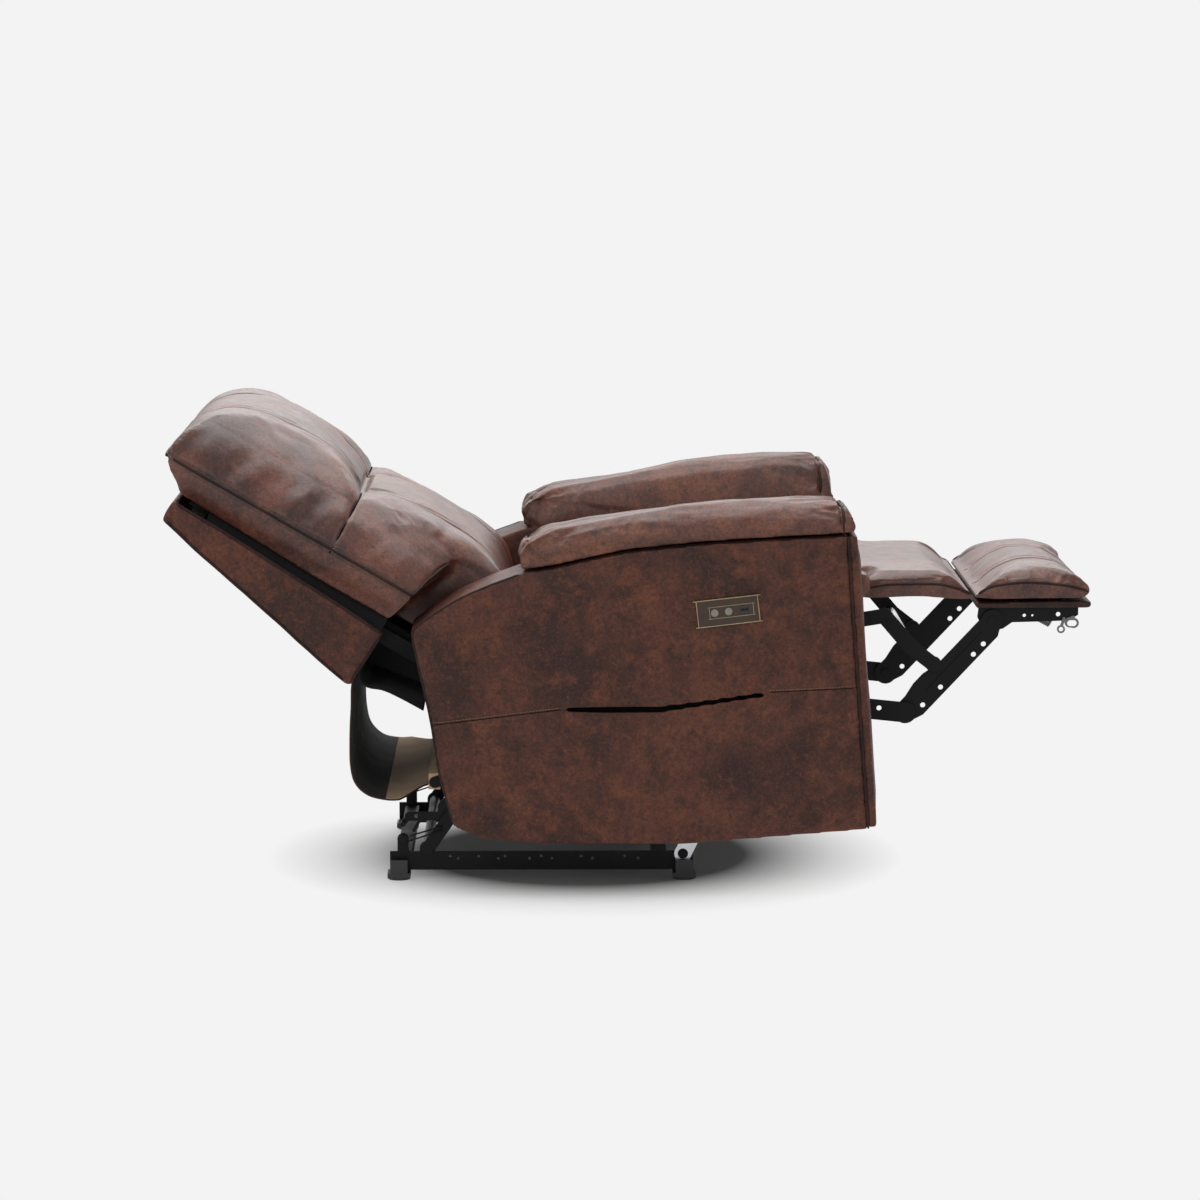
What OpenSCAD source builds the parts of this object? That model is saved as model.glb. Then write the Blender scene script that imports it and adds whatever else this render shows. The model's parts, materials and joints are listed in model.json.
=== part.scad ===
// Power recliner armchair with a chaise footrest, shown fully reclined with the footrest out.
// +X is the way the sitter faces, +Z is up, Y = 0 is the middle of the seat.
// Right and left are the sitter's: the right arm is on the -Y side.

/* [Arms] */
// Half of the overall width, to the outer face of an arm
arm_outer_y = 400; // [390:1:410]
// Half of the clear width between the arms
arm_inner_y = 255; // [253:1:258]
// Thickness of the padded cover on an arm
cover_t = 15; // [12:1:16]

/* [Seat] */
// Half width of the seat and footrest cushions
cushion_y = 248; // [240:1:250]
// Tilt of the reclined seat, front end up, degrees
seat_tilt = 3; // [2.8:0.1:3.2]

/* [Back] */
// Half width of the back above the arms
wing_y = 375; // [360:1:385]
// Half width of the back between the arms
narrow_y = 245; // [240:1:248]

/* [Mechanism] */
// Thickness of the steel link plates
plate_t = 3; // [2.5:0.1:3]
// Radius of the pivot studs
stud_r = 5; // [4:0.5:5]
// Running clearance of the pivots, on the radius
run_c = 0.08; // [0.05:0.01:0.1]
// Diameter of the round holes punched in the links
punch_d = 9; // [6:0.5:10]
// Radius of the bright cross tube under the footrest
cross_tube_r = 8; // [7:0.5:8.5]

/* [Hidden] */
$fn = 40;
coil_fn = 24;

// Distance from the middle of the chair to each layer of link plates
y_plate = 241;
y_swing = 247;
y_link = 235;
y_long = 229;
y_bracket = 223;
rest_gap = 0.5;

// Fixed pivots on the base and on the seat, as [x, z]
front_base = [98, 45];
rear_base = [-348, 54];
front_top = [181.3, 215.8];
rear_top = [-246.5, 200];
back_pivot = [-221, 310];
drive_pivot = [255, 355];
upper_pivot = [304, 439];

// Moving pivots of the footrest linkage
elbow = [486, 292];
upper_end = [535, 376];
long_top = [637, 453];
footrest_hinge = [406, 516];
cross_tube_at = [495, 407];
nose_r = 20;
end_proud = 0.985;

// Drive for the footrest
crank_r = 90;
crank_pin = [drive_pivot[0] + crank_r * cos(45), drive_pivot[1] - crank_r * sin(45)];
tube_r = 10;
rail_z = 322;
rail_half = 10;

steel_black = [0.07, 0.07, 0.075];
zinc = [0.72, 0.73, 0.75];
hide = [0.33, 0.21, 0.18];
hide_dark = [0.24, 0.15, 0.13];
timber = [0.72, 0.56, 0.38];
plastic_black = [0.05, 0.05, 0.055];
bronze = [0.16, 0.12, 0.10];

// Side-view outline [x, z], made solid from y0 to y1
module side_view(y0, y1) {
  translate([0, y1, 0])
    rotate([90, 0, 0])
      linear_extrude(height = y1 - y0)
        children();
}

// Front-view outline [y, z], made solid from x0 to x1
module front_view(x0, x1) {
  translate([x0, 0, 0])
    rotate([90, 0, 90])
      linear_extrude(height = x1 - x0)
        children();
}

// Flat bar with round ends, which stand just proud of its straight sides
module bar(p, q, r) {
  translate(p)
    rotate(atan2(q[1] - p[1], q[0] - p[0]))
      translate([0, -end_proud * r])
        square([norm(q - p), 2 * end_proud * r]);
  translate(p)
    circle(r = r);
  translate(q)
    circle(r = r);
}

// Round hole or disc at a point of the side view
module spot(p, r) {
  translate(p)
    circle(r = r);
}

// Pivot stud along Y: shank from y0 to y1, a shoulder and a rolled head
module stud(p, y0, y1, collar0, collar1, head0, head1, head_r = stud_r + 3) {
  side_view(y0, y1) spot(p, stud_r);
  side_view(collar0, collar1) spot(p, head_r);
  side_view(head0, head1) spot(p, head_r);
}

module on_right() {
  mirror([0, 1, 0])
    children();
}

// Seat parts are drawn level and then tilted with the seat
module tilted() {
  rotate([0, -seat_tilt, 0])
    children();
}

// Back parts are drawn as [distance down the back, height over it] from the back pivot
module on_back() {
  translate([back_pivot[0], 0, back_pivot[1]])
    rotate([0, 30, 0])
      children();
}

// ---------------------------------------------------------------- base

rail_holes = [-309, -295, -259, -225, -213, -170, -150, -131, -80, -60, -4, 20];

module base_rail() {
  difference() {
    union() {
      side_view(y_plate, y_plate + plate_t) {
        translate([-414, 16])
          square([530, 33]);
        bar([rear_base[0], 44], rear_base, 14);
        bar([front_base[0], 44], front_base, 14);
        bar([-391, 40], [-391, 71], 10);
      }
      side_view(y_plate - 29, y_plate + 1)
        translate([-414, 16])
          square([530, 3]);
      side_view(y_plate + 1, y_plate + 10) spot([-391, 71], 8);
    }
    side_view(y_plate - 1, y_plate + plate_t + 1) {
      for (i = [0 : len(rail_holes) - 1])
        spot([rail_holes[i], 36 + 4 * ((i + 1) % 2)], 2.5);
      spot(front_base, tube_r - 1 + run_c);
      spot(rear_base, tube_r - 1 + run_c);
    }
  }
}

module base_rail_right() {
  color(steel_black) on_right() base_rail();
}

module base_rail_left() {
  color(steel_black) base_rail();
}

module base_cross_tubes() {
  color(steel_black)
    for (x = [-402, 45])
      difference() {
        translate([x, 0.2 - y_plate, 19])
          cube([25, 2 * y_plate - 0.4, 25]);
        translate([x + 2, -y_plate - 1, 21])
          cube([21, 2 * y_plate + 2, 21]);
      }
}

// One foot: glide, neck under the rail and an outer stop block
module foot(x) {
  translate([x, 242, 0])
    cylinder(h = 5, r = 19);
  translate([x - 20, 222, 4])
    cube([40, 40, 9]);
  translate([x - 15, 226, 12])
    cube([30, 18, 4]);
  translate([x - 15, y_swing + plate_t + 1.5, 12])
    cube([30, 10, 24]);
}

module base_feet() {
  color(plastic_black)
    for (s = [0, 1])
      mirror([0, s, 0])
        for (x = [-398, 100])
          foot(x);
}

// ---------------------------------------------------------------- recline linkage

module front_swing_link() {
  difference() {
    side_view(y_swing, y_swing + plate_t) bar(front_base, front_top, 15);
    side_view(y_swing - 1, y_swing + plate_t + 1) {
      spot(front_base, tube_r - 1 + run_c);
      spot(front_top, stud_r + run_c);
      spot([132, 115], punch_d / 2);
    }
  }
}

module front_swing_link_right() {
  color(zinc) on_right() front_swing_link();
}

module front_swing_link_left() {
  color(zinc) front_swing_link();
}

module front_swing_tube() {
  color(steel_black)
    side_view(-y_swing - plate_t - 0.5, y_swing + plate_t + 0.5)
      spot(front_base, tube_r - 1);
}

module rear_swing_link() {
  difference() {
    side_view(y_swing, y_swing + plate_t) {
      bar(rear_base, rear_top, 12);
      spot(rear_top, 17);
    }
    side_view(y_swing - 1, y_swing + plate_t + 1) {
      spot(rear_base, tube_r - 1 + run_c);
      spot(rear_top, stud_r + 5);
    }
  }
}

module rear_swing_link_right() {
  color(steel_black) on_right() rear_swing_link();
}

module rear_swing_link_left() {
  color(steel_black) rear_swing_link();
}

module rear_swing_tube() {
  color(steel_black)
    side_view(-y_swing - plate_t - 0.5, y_swing + plate_t + 0.5)
      spot(rear_base, tube_r - 1);
}

// Two wires of a return spring, from the post on the rail to the swing link
module return_spring() {
  side_view(y_swing + 4.2, y_swing + 6.4) {
    bar([-378, 78], [-322, 95], 1.5);
    bar([-382, 68], [-322, 88], 1.5);
  }
}

module rear_return_springs() {
  color(steel_black) {
    return_spring();
    on_right() return_spring();
  }
}

// ---------------------------------------------------------------- seat carriage

module side_plate() {
  difference() {
    union() {
      side_view(y_plate, y_plate + plate_t) {
        bar(back_pivot, [-150, 322], 20);
        bar([-170, 322], drive_pivot, 18);
        bar(back_pivot, rear_top, 17);
        bar(rear_top, [-318, 128], 12);
        bar([-318, 111], [-380, 111], 8);
        bar([-318, 128], [-318, 111], 8);
        bar(rear_top, [-335, 171], 10);
        bar(front_top, [190, 340], 17);
        bar(drive_pivot, upper_pivot, 17);
      }
      // studs for the swing links, outward
      stud(front_top, y_plate + 1, y_swing + plate_t + 2, y_plate + 1, y_swing - 0.4,
        y_swing + plate_t + 0.4, y_swing + plate_t + 2);
      stud(rear_top, y_plate + 1, y_swing + plate_t + 2, y_plate + 1, y_swing - 0.4,
        y_swing + plate_t + 0.4, y_swing + plate_t + 2, 16);
      // studs for the upper link and the back, inward
      stud(upper_pivot, y_link - 2.4, y_plate + 1, y_link + plate_t + 0.4, y_plate + 1,
        y_link - 2.4, y_link - 0.4);
      stud(back_pivot, y_link - 2.4, y_plate + 1, y_link + plate_t + 0.4, y_plate + 1,
        y_link - 2.4, y_link - 0.4);
      // stop pin and small pins of the rear bar
      side_view(y_plate + 1, y_plate + 9) spot([-391, 98], 5);
      side_view(y_plate, y_plate + plate_t) bar([-380, 111], [-391, 98], 5);
      side_view(y_plate, y_plate + plate_t) bar([-362, 104], [-372, 86], 3);
    }
    side_view(y_plate - 1, y_plate + plate_t + 1) {
      spot(drive_pivot, tube_r + run_c);
      spot([-368, 111], 3.5);
      for (x = [-120 : 60 : 180])
        spot([x, 322 + (x + 150) * 0.075], punch_d / 2);
    }
  }
}

module side_plate_right() {
  color(steel_black) on_right() side_plate();
}

module side_plate_left() {
  color(steel_black) side_plate();
}

module seat_rail_front() {
  color(timber)
    difference() {
      translate([352, -y_bracket + 3.5, 376])
        cube([20, 2 * y_bracket - 7, 90]);
      for (y = [-150, 150])
        translate([351, y, 430])
          rotate([0, 90, 0])
            cylinder(h = 22, r = 8);
    }
}

module seat_rail_rear() {
  color(timber)
    translate([-105, 0.4 - y_plate, 330])
      cube([18, 2 * y_plate - 0.8, 50]);
}

// One sinuous spring: straight runs across the seat joined by round ends
module sinuous(x0, x1, loops, w) {
  pitch = (x1 - x0) / loops;
  wire = 3.6;
  for (i = [0 : loops])
    translate([x0 + i * pitch - wire / 2, -w / 2])
      square([wire, w]);
  for (i = [0 : loops - 1])
    translate([x0 + (i + 0.5) * pitch, (i % 2 == 0 ? 1 : -1) * w / 2])
      difference() {
        circle(r = (pitch + wire) / 2);
        circle(r = (pitch - wire) / 2);
        translate([-pitch, i % 2 == 0 ? -2 * pitch : 0])
          square([2 * pitch, 2 * pitch]);
      }
}

module seat_springs() {
  color(zinc)
    for (y = [-160 : 80 : 160])
      translate([0, y, 380.4])
        linear_extrude(height = 3.6)
          sinuous(-98, 350, 14, 34);
}

// Side outline of the seat cushion with the round nose that the footrest turns about
module seat_outline() {
  difference() {
    union() {
      polygon([[-106, 386], [376, 386], [376, 470], [376, 513], [386, 516], [406, 516],
        [406, 536], [380, 537], [300, 534], [200, 528], [100, 520], [0, 510], [-40, 502],
        [-58, 492], [-66, 482]]);
      spot(footrest_hinge, nose_r);
    }
    polygon([[376.1, 380], [420, 380], [420, 490], [400, 494], [386, 506], [376.1, 512]]);
  }
}

module seat_cushion() {
  color(hide)
    difference() {
      side_view(-cushion_y, cushion_y) seat_outline();
      // room for the side plates, the links and the seat rails below the cushion's edge
      for (s = [0, 1])
        mirror([0, s, 0])
          side_view(y_bracket - 3, cushion_y + 1)
            polygon([[-120, 380], [380, 380], [380, 484], [286, 474], [262, 402], [-120, 402]]);
      translate([350, -y_bracket - 1, 380])
        cube([30, 2 * y_bracket + 2, 87]);
    }
}

// Level side outline of an arm
arm_outline = [[416.5, 93], [93.5, 84], [-142, 98], [-246, 113], [-292, 137], [-313, 230],
  [-323, 325], [-347.5, 477], [-310, 503], [-256.5, 532], [-200, 553], [-149.5, 568],
  [-102, 572], [29, 593], [160, 599.5], [290, 600.7], [405, 600.7], [410, 339]];
arm_hollow = [[399, 60], [93.5, 60], [-142, 60], [-239, 60], [-278, 145], [-298, 230],
  [-308, 325], [-330, 469], [-302, 488], [-249, 516], [-193, 537], [-146, 552],
  [-98, 556], [31, 577], [160, 583.5], [290, 584.7], [389, 584.7], [394, 339]];

// Mouth of the side pocket, a narrow curved slot in the right arm's outer cover
pocket_mouth = [[-90, 324], [-30, 319], [70, 315], [160, 323], [250, 332], [250, 343],
  [160, 334], [70, 327], [-30, 330], [-90, 335]];
pocket_x0 = -88;
pocket_x1 = 248;

module arm_cover() {
  difference() {
    tilted() side_view(arm_inner_y, arm_outer_y) polygon(arm_outline);
    tilted() side_view(arm_inner_y + cover_t, arm_outer_y - cover_t) polygon(arm_hollow);
  }
}

module control_recess(grow, y0, y1) {
  tilted()
    side_view(y0, y1)
      translate([195, 483])
        rotate(3.5)
          translate([-50 - grow, -20 - grow])
            square([100 + 2 * grow, 40 + 2 * grow]);
}

module arm_cover_right() {
  color(hide)
    on_right()
      difference() {
        arm_cover();
        tilted() side_view(arm_outer_y - cover_t - 1, arm_outer_y + 1) polygon(pocket_mouth);
        control_recess(-2, arm_outer_y - cover_t - 1, arm_outer_y + 1);
      }
}

module arm_cover_left() {
  color(hide) arm_cover();
}

// Timber frame inside an arm: a panel with round openings, posts and a top rail
module arm_frame() {
  tilted() {
    difference() {
      side_view(arm_inner_y + cover_t + rest_gap, arm_inner_y + cover_t + 14)
        polygon([[396, 112], [93, 104], [-142, 118], [-234, 130], [-272, 160], [-292, 230],
          [-302, 325], [-322, 462], [-250, 508], [-146, 545], [-98, 549], [160, 577],
          [384, 578], [389, 339]]);
      side_view(arm_inner_y, arm_inner_y + 40)
        for (x = [-170, 0, 170])
          spot([x, 330], 65);
    }
    translate([355, arm_inner_y + cover_t + 13, 130])
      cube([30, 88, 440]);
    translate([-285, arm_inner_y + cover_t + 13, 190])
      cube([28, 88, 280]);
    translate([-90, arm_inner_y + cover_t + 13, 520])
      cube([446, 88, 28]);
  }
}

module arm_frame_right() {
  color(timber) on_right() arm_frame();
}

module arm_frame_left() {
  color(timber) arm_frame();
}

// Soft pad on top of an arm, crowned across and rounded at both ends
module arm_pad() {
  tilted()
    intersection() {
      side_view(arm_inner_y - 2, arm_outer_y + 3)
        polygon([[-102, 572.5], [29, 593.5], [160, 600], [290, 601.2], [405.5, 601.2],
          [418, 601.2], [424, 612], [422, 632], [410, 650], [383, 661], [296, 663],
          [165, 660], [-10, 642], [-129, 628], [-150, 618], [-160, 600], [-156, 572],
          [-149.5, 568.5]]);
      front_view(-170, 430)
        polygon([[arm_inner_y - 2, 560], [arm_outer_y + 3, 560], [arm_outer_y + 3, 618],
          [arm_outer_y, 634], [arm_outer_y - 12, 648], [arm_outer_y - 32, 658],
          [arm_outer_y - 58, 664], [arm_inner_y + 60, 664], [arm_inner_y + 34, 659],
          [arm_inner_y + 13, 649], [arm_inner_y + 1, 634], [arm_inner_y - 2, 618]]);
    }
}

module arm_pad_right() {
  color(hide) on_right() arm_pad();
}

module arm_pad_left() {
  color(hide) arm_pad();
}

// Welted panel closing the front of an arm
module arm_front_panel() {
  tilted()
    side_view(arm_inner_y, arm_outer_y)
      polygon([[416.8, 95], [432, 97], [426, 339], [421, 600.7], [405.3, 600.7], [410.3, 339]]);
}

module arm_front_panel_right() {
  color(hide_dark) on_right() arm_front_panel();
}

module arm_front_panel_left() {
  color(hide_dark) arm_front_panel();
}

module rear_cross_rail() {
  color(timber)
    translate([-346, 0.4 - y_plate, 158])
      cube([20, 2 * y_plate - 0.8, 28]);
}

// ---------------------------------------------------------------- controls and drive

button_x = [172, 196];
button_r = 6.5;
button_y = arm_outer_y + 2;

// Point of the level side view on the control plate
function plate_x(k) = button_x[k];
function plate_z(k) = 483 + (button_x[k] - 195) * tan(3.5);

module control_plate() {
  color(bronze)
    on_right()
      difference() {
        union() {
          control_recess(-2.3, arm_outer_y - 10, arm_outer_y + 0.2);
          control_recess(3, arm_outer_y + 0.2, arm_outer_y + 2);
        }
        tilted() {
          side_view(arm_outer_y - 8, arm_outer_y + 3)
            for (k = [0, 1])
              spot([plate_x(k), plate_z(k)], button_r + 0.4);
          side_view(arm_outer_y - 8, arm_outer_y + 3)
            translate([216, 477])
              rotate(3.5)
                square([15, 15]);
        }
      }
}

module usb_socket() {
  color(plastic_black)
    on_right()
      tilted()
        difference() {
          side_view(arm_outer_y - 8, arm_outer_y + 1)
            translate([216.3, 477.3])
              rotate(3.5)
                square([14.4, 14.4]);
          side_view(arm_outer_y - 5, arm_outer_y + 2)
            translate([217.4, 482.4])
              rotate(3.5)
                square([12.2, 4.6]);
        }
}

module button(k) {
  on_right()
    tilted() {
      side_view(arm_outer_y - 4, button_y + 1.5) spot([plate_x(k), plate_z(k)], button_r);
      side_view(button_y + 1.5, button_y + 2.2) spot([plate_x(k), plate_z(k)], button_r - 1);
    }
}

module recline_button() {
  color(zinc) button(1);
}

module upright_button() {
  color(zinc) button(0);
}

// Flat pouch behind the slot in the right arm, open at the top
module pocket_bag() {
  color(plastic_black)
    on_right()
      tilted()
        difference() {
          side_view(arm_outer_y - cover_t - 24, arm_outer_y - cover_t - rest_gap)
            polygon([[pocket_x0, 180], [pocket_x1, 180], [pocket_x1, 350], [pocket_x0, 350]]);
          side_view(arm_outer_y - cover_t - 22, arm_outer_y - cover_t - 2.5)
            polygon([[pocket_x0 + 2, 182], [pocket_x1 - 2, 182], [pocket_x1 - 2, 352],
              [pocket_x0 + 2, 352]]);
          side_view(arm_outer_y - cover_t - 3, arm_outer_y - cover_t + 1)
            polygon([[pocket_x0 + 2, 310], [pocket_x1 - 2, 310], [pocket_x1 - 2, 352],
              [pocket_x0 + 2, 352]]);
        }
}

module actuator_rail() {
  color(zinc)
    difference() {
      translate([-10, -rail_half, rail_z - rail_half])
        cube([360, 2 * rail_half, 2 * rail_half]);
      for (s = [-1, 1])
        translate([0, s * rail_half - 3, rail_z - 3])
          cube([351, 6, 6]);
    }
}

module motor() {
  color(plastic_black) {
    translate([-70, -30, 300])
      cube([59.7, 60, 46]);
    translate([-86.6, -15, 333])
      cube([20, 30, 10]);
    translate([-40, 0, 212])
      cylinder(h = 90, r = 23);
    translate([-40, 0, 206])
      cylinder(h = 8, r = 16);
  }
}

module power_inlet() {
  color(plastic_black)
    difference() {
      translate([-342, 150, 142])
        cube([18, 20, 15.7]);
      translate([-343, 160, 150])
        rotate([0, 90, 0])
          cylinder(h = 12, r = 4);
    }
}

module actuator_block() {
  color(plastic_black)
    difference() {
      union() {
        translate([crank_pin[0] - 25, -20, rail_z - 16])
          cube([50, 40, 32]);
        translate([crank_pin[0] - 18, -3, 248])
          cube([36, 6, rail_z - 16 - 247]);
      }
      translate([crank_pin[0] - 26, -rail_half - 0.5, rail_z - rail_half - 0.5])
        cube([52, 2 * rail_half + 1, 2 * rail_half + 1]);
      side_view(-4, 4) bar([crank_pin[0], 264], [crank_pin[0], 293], 8);
    }
}

module drive_tube() {
  color(steel_black) {
    side_view(-y_plate - plate_t - 2, y_plate + plate_t + 2) spot(drive_pivot, tube_r);
    for (s = [0, 1])
      mirror([0, s, 0])
        side_view(24, 29) bar(drive_pivot, crank_pin, 13);
    side_view(-29, 29) spot(crank_pin, 5);
  }
}

// ---------------------------------------------------------------- footrest linkage

lower_bend = [400, 301];

module lower_link() {
  difference() {
    union() {
      side_view(y_link, y_link + plate_t) {
        bar(drive_pivot, lower_bend, 19);
        bar(lower_bend, elbow, 18);
      }
      stud(elbow, y_long - 2.6, y_link + 1, y_long + plate_t + 0.4, y_link + 1,
        y_long - 2.6, y_long - 0.4);
    }
    side_view(y_link - 1, y_link + plate_t + 1) {
      spot(drive_pivot, tube_r + 0.05);
      spot([440, 300], punch_d / 2);
      spot([330, 326], punch_d / 2);
    }
  }
}

module lower_link_right() {
  color(steel_black) on_right() lower_link();
}

module lower_link_left() {
  color(steel_black) lower_link();
}

upper_bend = [448, 462];

module upper_link() {
  difference() {
    union() {
      side_view(y_link, y_link + plate_t) {
        bar(upper_pivot, upper_bend, 13);
        bar(upper_bend, cross_tube_at, 14);
        bar(cross_tube_at, upper_end, 13);
      }
      stud(upper_end, y_long - 2.6, y_link + 1, y_long + plate_t + 0.4, y_link + 1,
        y_long - 2.6, y_long - 0.4);
    }
    side_view(y_link - 1, y_link + plate_t + 1) spot(upper_pivot, stud_r + run_c);
  }
}

module upper_link_right() {
  color(steel_black) on_right() upper_link();
}

module upper_link_left() {
  color(steel_black) upper_link();
}

module footrest_cross_tube() {
  color(zinc)
    difference() {
      side_view(0.1 - y_link, y_link - 0.1) spot(cross_tube_at, cross_tube_r);
      side_view(-y_link, y_link) spot(cross_tube_at, cross_tube_r - 1.6);
    }
}

// Long link of the footrest: a wide pressed plate with a raised rib and an ear for the upper link
long_angle = atan2(long_top[1] - elbow[1], long_top[0] - elbow[0]);
long_length = norm(long_top - elbow);
long_holes = [[74, -15], [155, -17], [180, -17], [30, -14]];

module long_link() {
  difference() {
    union() {
      side_view(y_long, y_long + plate_t) {
        spot(elbow, 20);
        spot(long_top, 19);
        spot(upper_end, 14);
        translate(elbow)
          rotate(long_angle)
            polygon([[0, -19.6], [18, -26], [long_length - 14, -26], [long_length, -18.6],
              [long_length, 17], [100, 17], [70, 24], [46, 24], [20, 19], [0, 19]]);
      }
      side_view(y_long + 1, y_long + plate_t + 2)
        translate(elbow)
          rotate(long_angle)
            translate([52, -5])
              square([140, 5]);
    }
    side_view(y_long - 1, y_long + plate_t + 3) {
      spot(elbow, stud_r + run_c);
      spot(upper_end, stud_r + run_c);
      spot(long_top, stud_r + run_c);
      translate(elbow)
        rotate(long_angle)
          for (h = long_holes)
            spot(h, punch_d / 2);
    }
  }
}

module long_link_right() {
  color(steel_black) on_right() long_link();
}

module long_link_left() {
  color(steel_black) long_link();
}

// ---------------------------------------------------------------- footrest

module footrest_bracket() {
  difference() {
    union() {
      side_view(y_bracket, y_bracket + plate_t)
        polygon([[613, 475], [611, 458], [620, 440], [637, 434], [656, 438], [672, 449],
          [713, 450], [770, 452], [787, 462], [787, 475]]);
      side_view(y_bracket - 22, y_bracket + 1)
        polygon([[613, 475], [613, 472.5], [787, 472.5], [787, 475]]);
      stud(long_top, y_bracket + 1, y_long + plate_t + 2.4, y_bracket + 1, y_long - 0.4,
        y_long + plate_t + 0.4, y_long + plate_t + 2.4);
    }
    side_view(y_bracket - 1, y_bracket + plate_t + 1) {
      spot([693, 461], 3);
      spot([707, 461], 2);
      spot([752, 463], 4);
    }
  }
}

module footrest_bracket_right() {
  color(steel_black) on_right() footrest_bracket();
}

module footrest_bracket_left() {
  color(steel_black) footrest_bracket();
}

// Close-wound spring on the inner face of each bracket, drawn as a ribbed cylinder
module bracket_spring() {
  coils = 7;
  pitch = 3.4;
  translate([720, y_bracket - 11, 459])
    rotate([0, 118, 0]) {
      cylinder(h = coils * pitch, r = 8, $fn = coil_fn);
      for (i = [0 : coils - 1])
        translate([0, 0, (i + 0.5) * pitch])
          rotate_extrude($fn = coil_fn)
            translate([9, 0])
              circle(r = pitch / 2 - 0.1, $fn = coil_fn);
    }
  side_view(y_bracket - 13, y_bracket - 0.1) bar([727, 456], [733, 453], 4);
}

module bracket_springs() {
  color(zinc) {
    bracket_spring();
    on_right() bracket_spring();
  }
}

// Wire eyes under the front of a bracket
module bracket_eye_pair() {
  difference() {
    side_view(y_bracket + plate_t + 0.1, y_bracket + plate_t + 3) {
      spot([757, 437], 7);
      bar([757, 440], [762, 456], 2.5);
      bar([772, 449], [779, 448], 9);
      bar([766, 452], [778, 458], 3);
    }
    side_view(y_bracket, y_bracket + plate_t + 4) {
      spot([757, 437], 4);
      bar([773, 447.5], [779, 447.5], 5.4);
    }
  }
}

module bracket_eyes() {
  color(steel_black) {
    bracket_eye_pair();
    on_right() bracket_eye_pair();
  }
}

module footrest_board() {
  color(hide_dark)
    side_view(-cushion_y + 8, cushion_y - 8)
      polygon([[608, 475.2], [800, 475.8], [808, 478], [808, 486], [800, 488.4], [608, 485]]);
}

// Crown of a footrest pad across its width, as [y, z]
module pad_crown(z0, edge, top) {
  polygon([[-cushion_y, z0], [cushion_y, z0], [cushion_y, edge], [cushion_y - 10, edge + 9],
    [cushion_y - 40, top - 6], [cushion_y - 90, top], [90 - cushion_y, top],
    [40 - cushion_y, top - 6], [10 - cushion_y, edge + 9], [-cushion_y, edge]]);
}

module footrest_pad() {
  color(hide)
    intersection() {
      side_view(-cushion_y, cushion_y)
        polygon([[604, 485.4], [700, 488.7], [780, 489], [799, 491], [809, 500], [811, 511],
          [806, 521], [790, 531], [760, 538], [725, 543], [690, 543], [650, 537], [622, 527],
          [611, 512], [605, 502]]);
      front_view(590, 830) pad_crown(480, 524, 543);
    }
}

module chaise_bridge_pad() {
  color(hide)
    intersection() {
      difference() {
        side_view(-cushion_y, cushion_y)
          polygon([[413, 490.3], [500, 486], [603, 482], [603.4, 500], [596, 516],
            [575, 532], [540, 540], [480, 541], [430, 540], [412, 537]]);
        side_view(-cushion_y - 1, cushion_y + 1) spot(footrest_hinge, nose_r + 0.6);
      }
      front_view(395, 620) pad_crown(478, 526, 541);
    }
}

// ---------------------------------------------------------------- back

module back_bracket() {
  difference() {
    union() {
      side_view(y_link, y_link + plate_t) {
        spot(back_pivot, 18);
        translate(back_pivot)
          rotate(150)
            polygon([[0, -16], [260, -14], [262, 12], [0, 16]]);
      }
      side_view(y_link - 4.6, y_link + 1)
        translate(back_pivot)
          rotate(150) {
            spot([80, 0], 10);
            spot([230, 0], 10);
          }
    }
    side_view(y_link - 1, y_link + plate_t + 1) spot(back_pivot, stud_r + run_c);
  }
}

module back_bracket_right() {
  color(steel_black) on_right() back_bracket();
}

module back_bracket_left() {
  color(steel_black) back_bracket();
}

module back_upright() {
  on_back()
    side_view(y_link - 26, y_link - 4.8)
      polygon([[-20, -20], [-20, 22], [-640, 34], [-640, 18], [-240, -54], [-150, -40]]);
}

module back_upright_right() {
  color(timber) on_right() back_upright();
}

module back_upright_left() {
  color(timber) back_upright();
}

module back_cross_rails() {
  color(timber)
    on_back() {
      for (p = [[-60, 0], [-330, 2], [-632, 18]])
        translate([p[0], 26.6 - y_link, p[1]])
          cube([30, 2 * y_link - 53.2, 16]);
      // wing rails outside the uprights
      for (s = [0, 1])
        mirror([0, s, 0])
          for (p = [[-290, 6], [-630, 18]])
            translate([p[0], y_link + 3.4, p[1]])
              cube([26, 118, 16]);
    }
}

// Side outline of the outside back, as [down the back, height over it]
shell_outline = [[-664, 5], [-666, 20], [-664, 44], [-540, 40], [-411, 34], [-300, 28], [-240, 25],
  [-245.6, -80.6], [-255, -84]];
shell_hollow = [[-652, 18], [-652, 60], [-540, 60], [-411, 60], [-300, 60], [-230, 60],
  [-230, -60], [-255, -68]];

module back_shell() {
  color(hide_dark)
    on_back()
      difference() {
        side_view(-wing_y + 2, wing_y - 2) polygon(shell_outline);
        side_view(-wing_y + 14, wing_y - 14) polygon(shell_hollow);
      }
}

// Crown of a back cushion across its width, as [y, height]
module back_crown(half, edge, top) {
  polygon([[-half, 20], [half, 20], [half, edge], [half - 14, edge + 26],
    [half - 40, edge + (top - edge) * 0.45], [half - 90, edge + (top - edge) * 0.70],
    [half - 150, edge + (top - edge) * 0.9], [half - 225, top], [225 - half, top],
    [150 - half, edge + (top - edge) * 0.9], [90 - half, edge + (top - edge) * 0.70],
    [40 - half, edge + (top - edge) * 0.45], [14 - half, edge + 26], [-half, edge]]);
}

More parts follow.
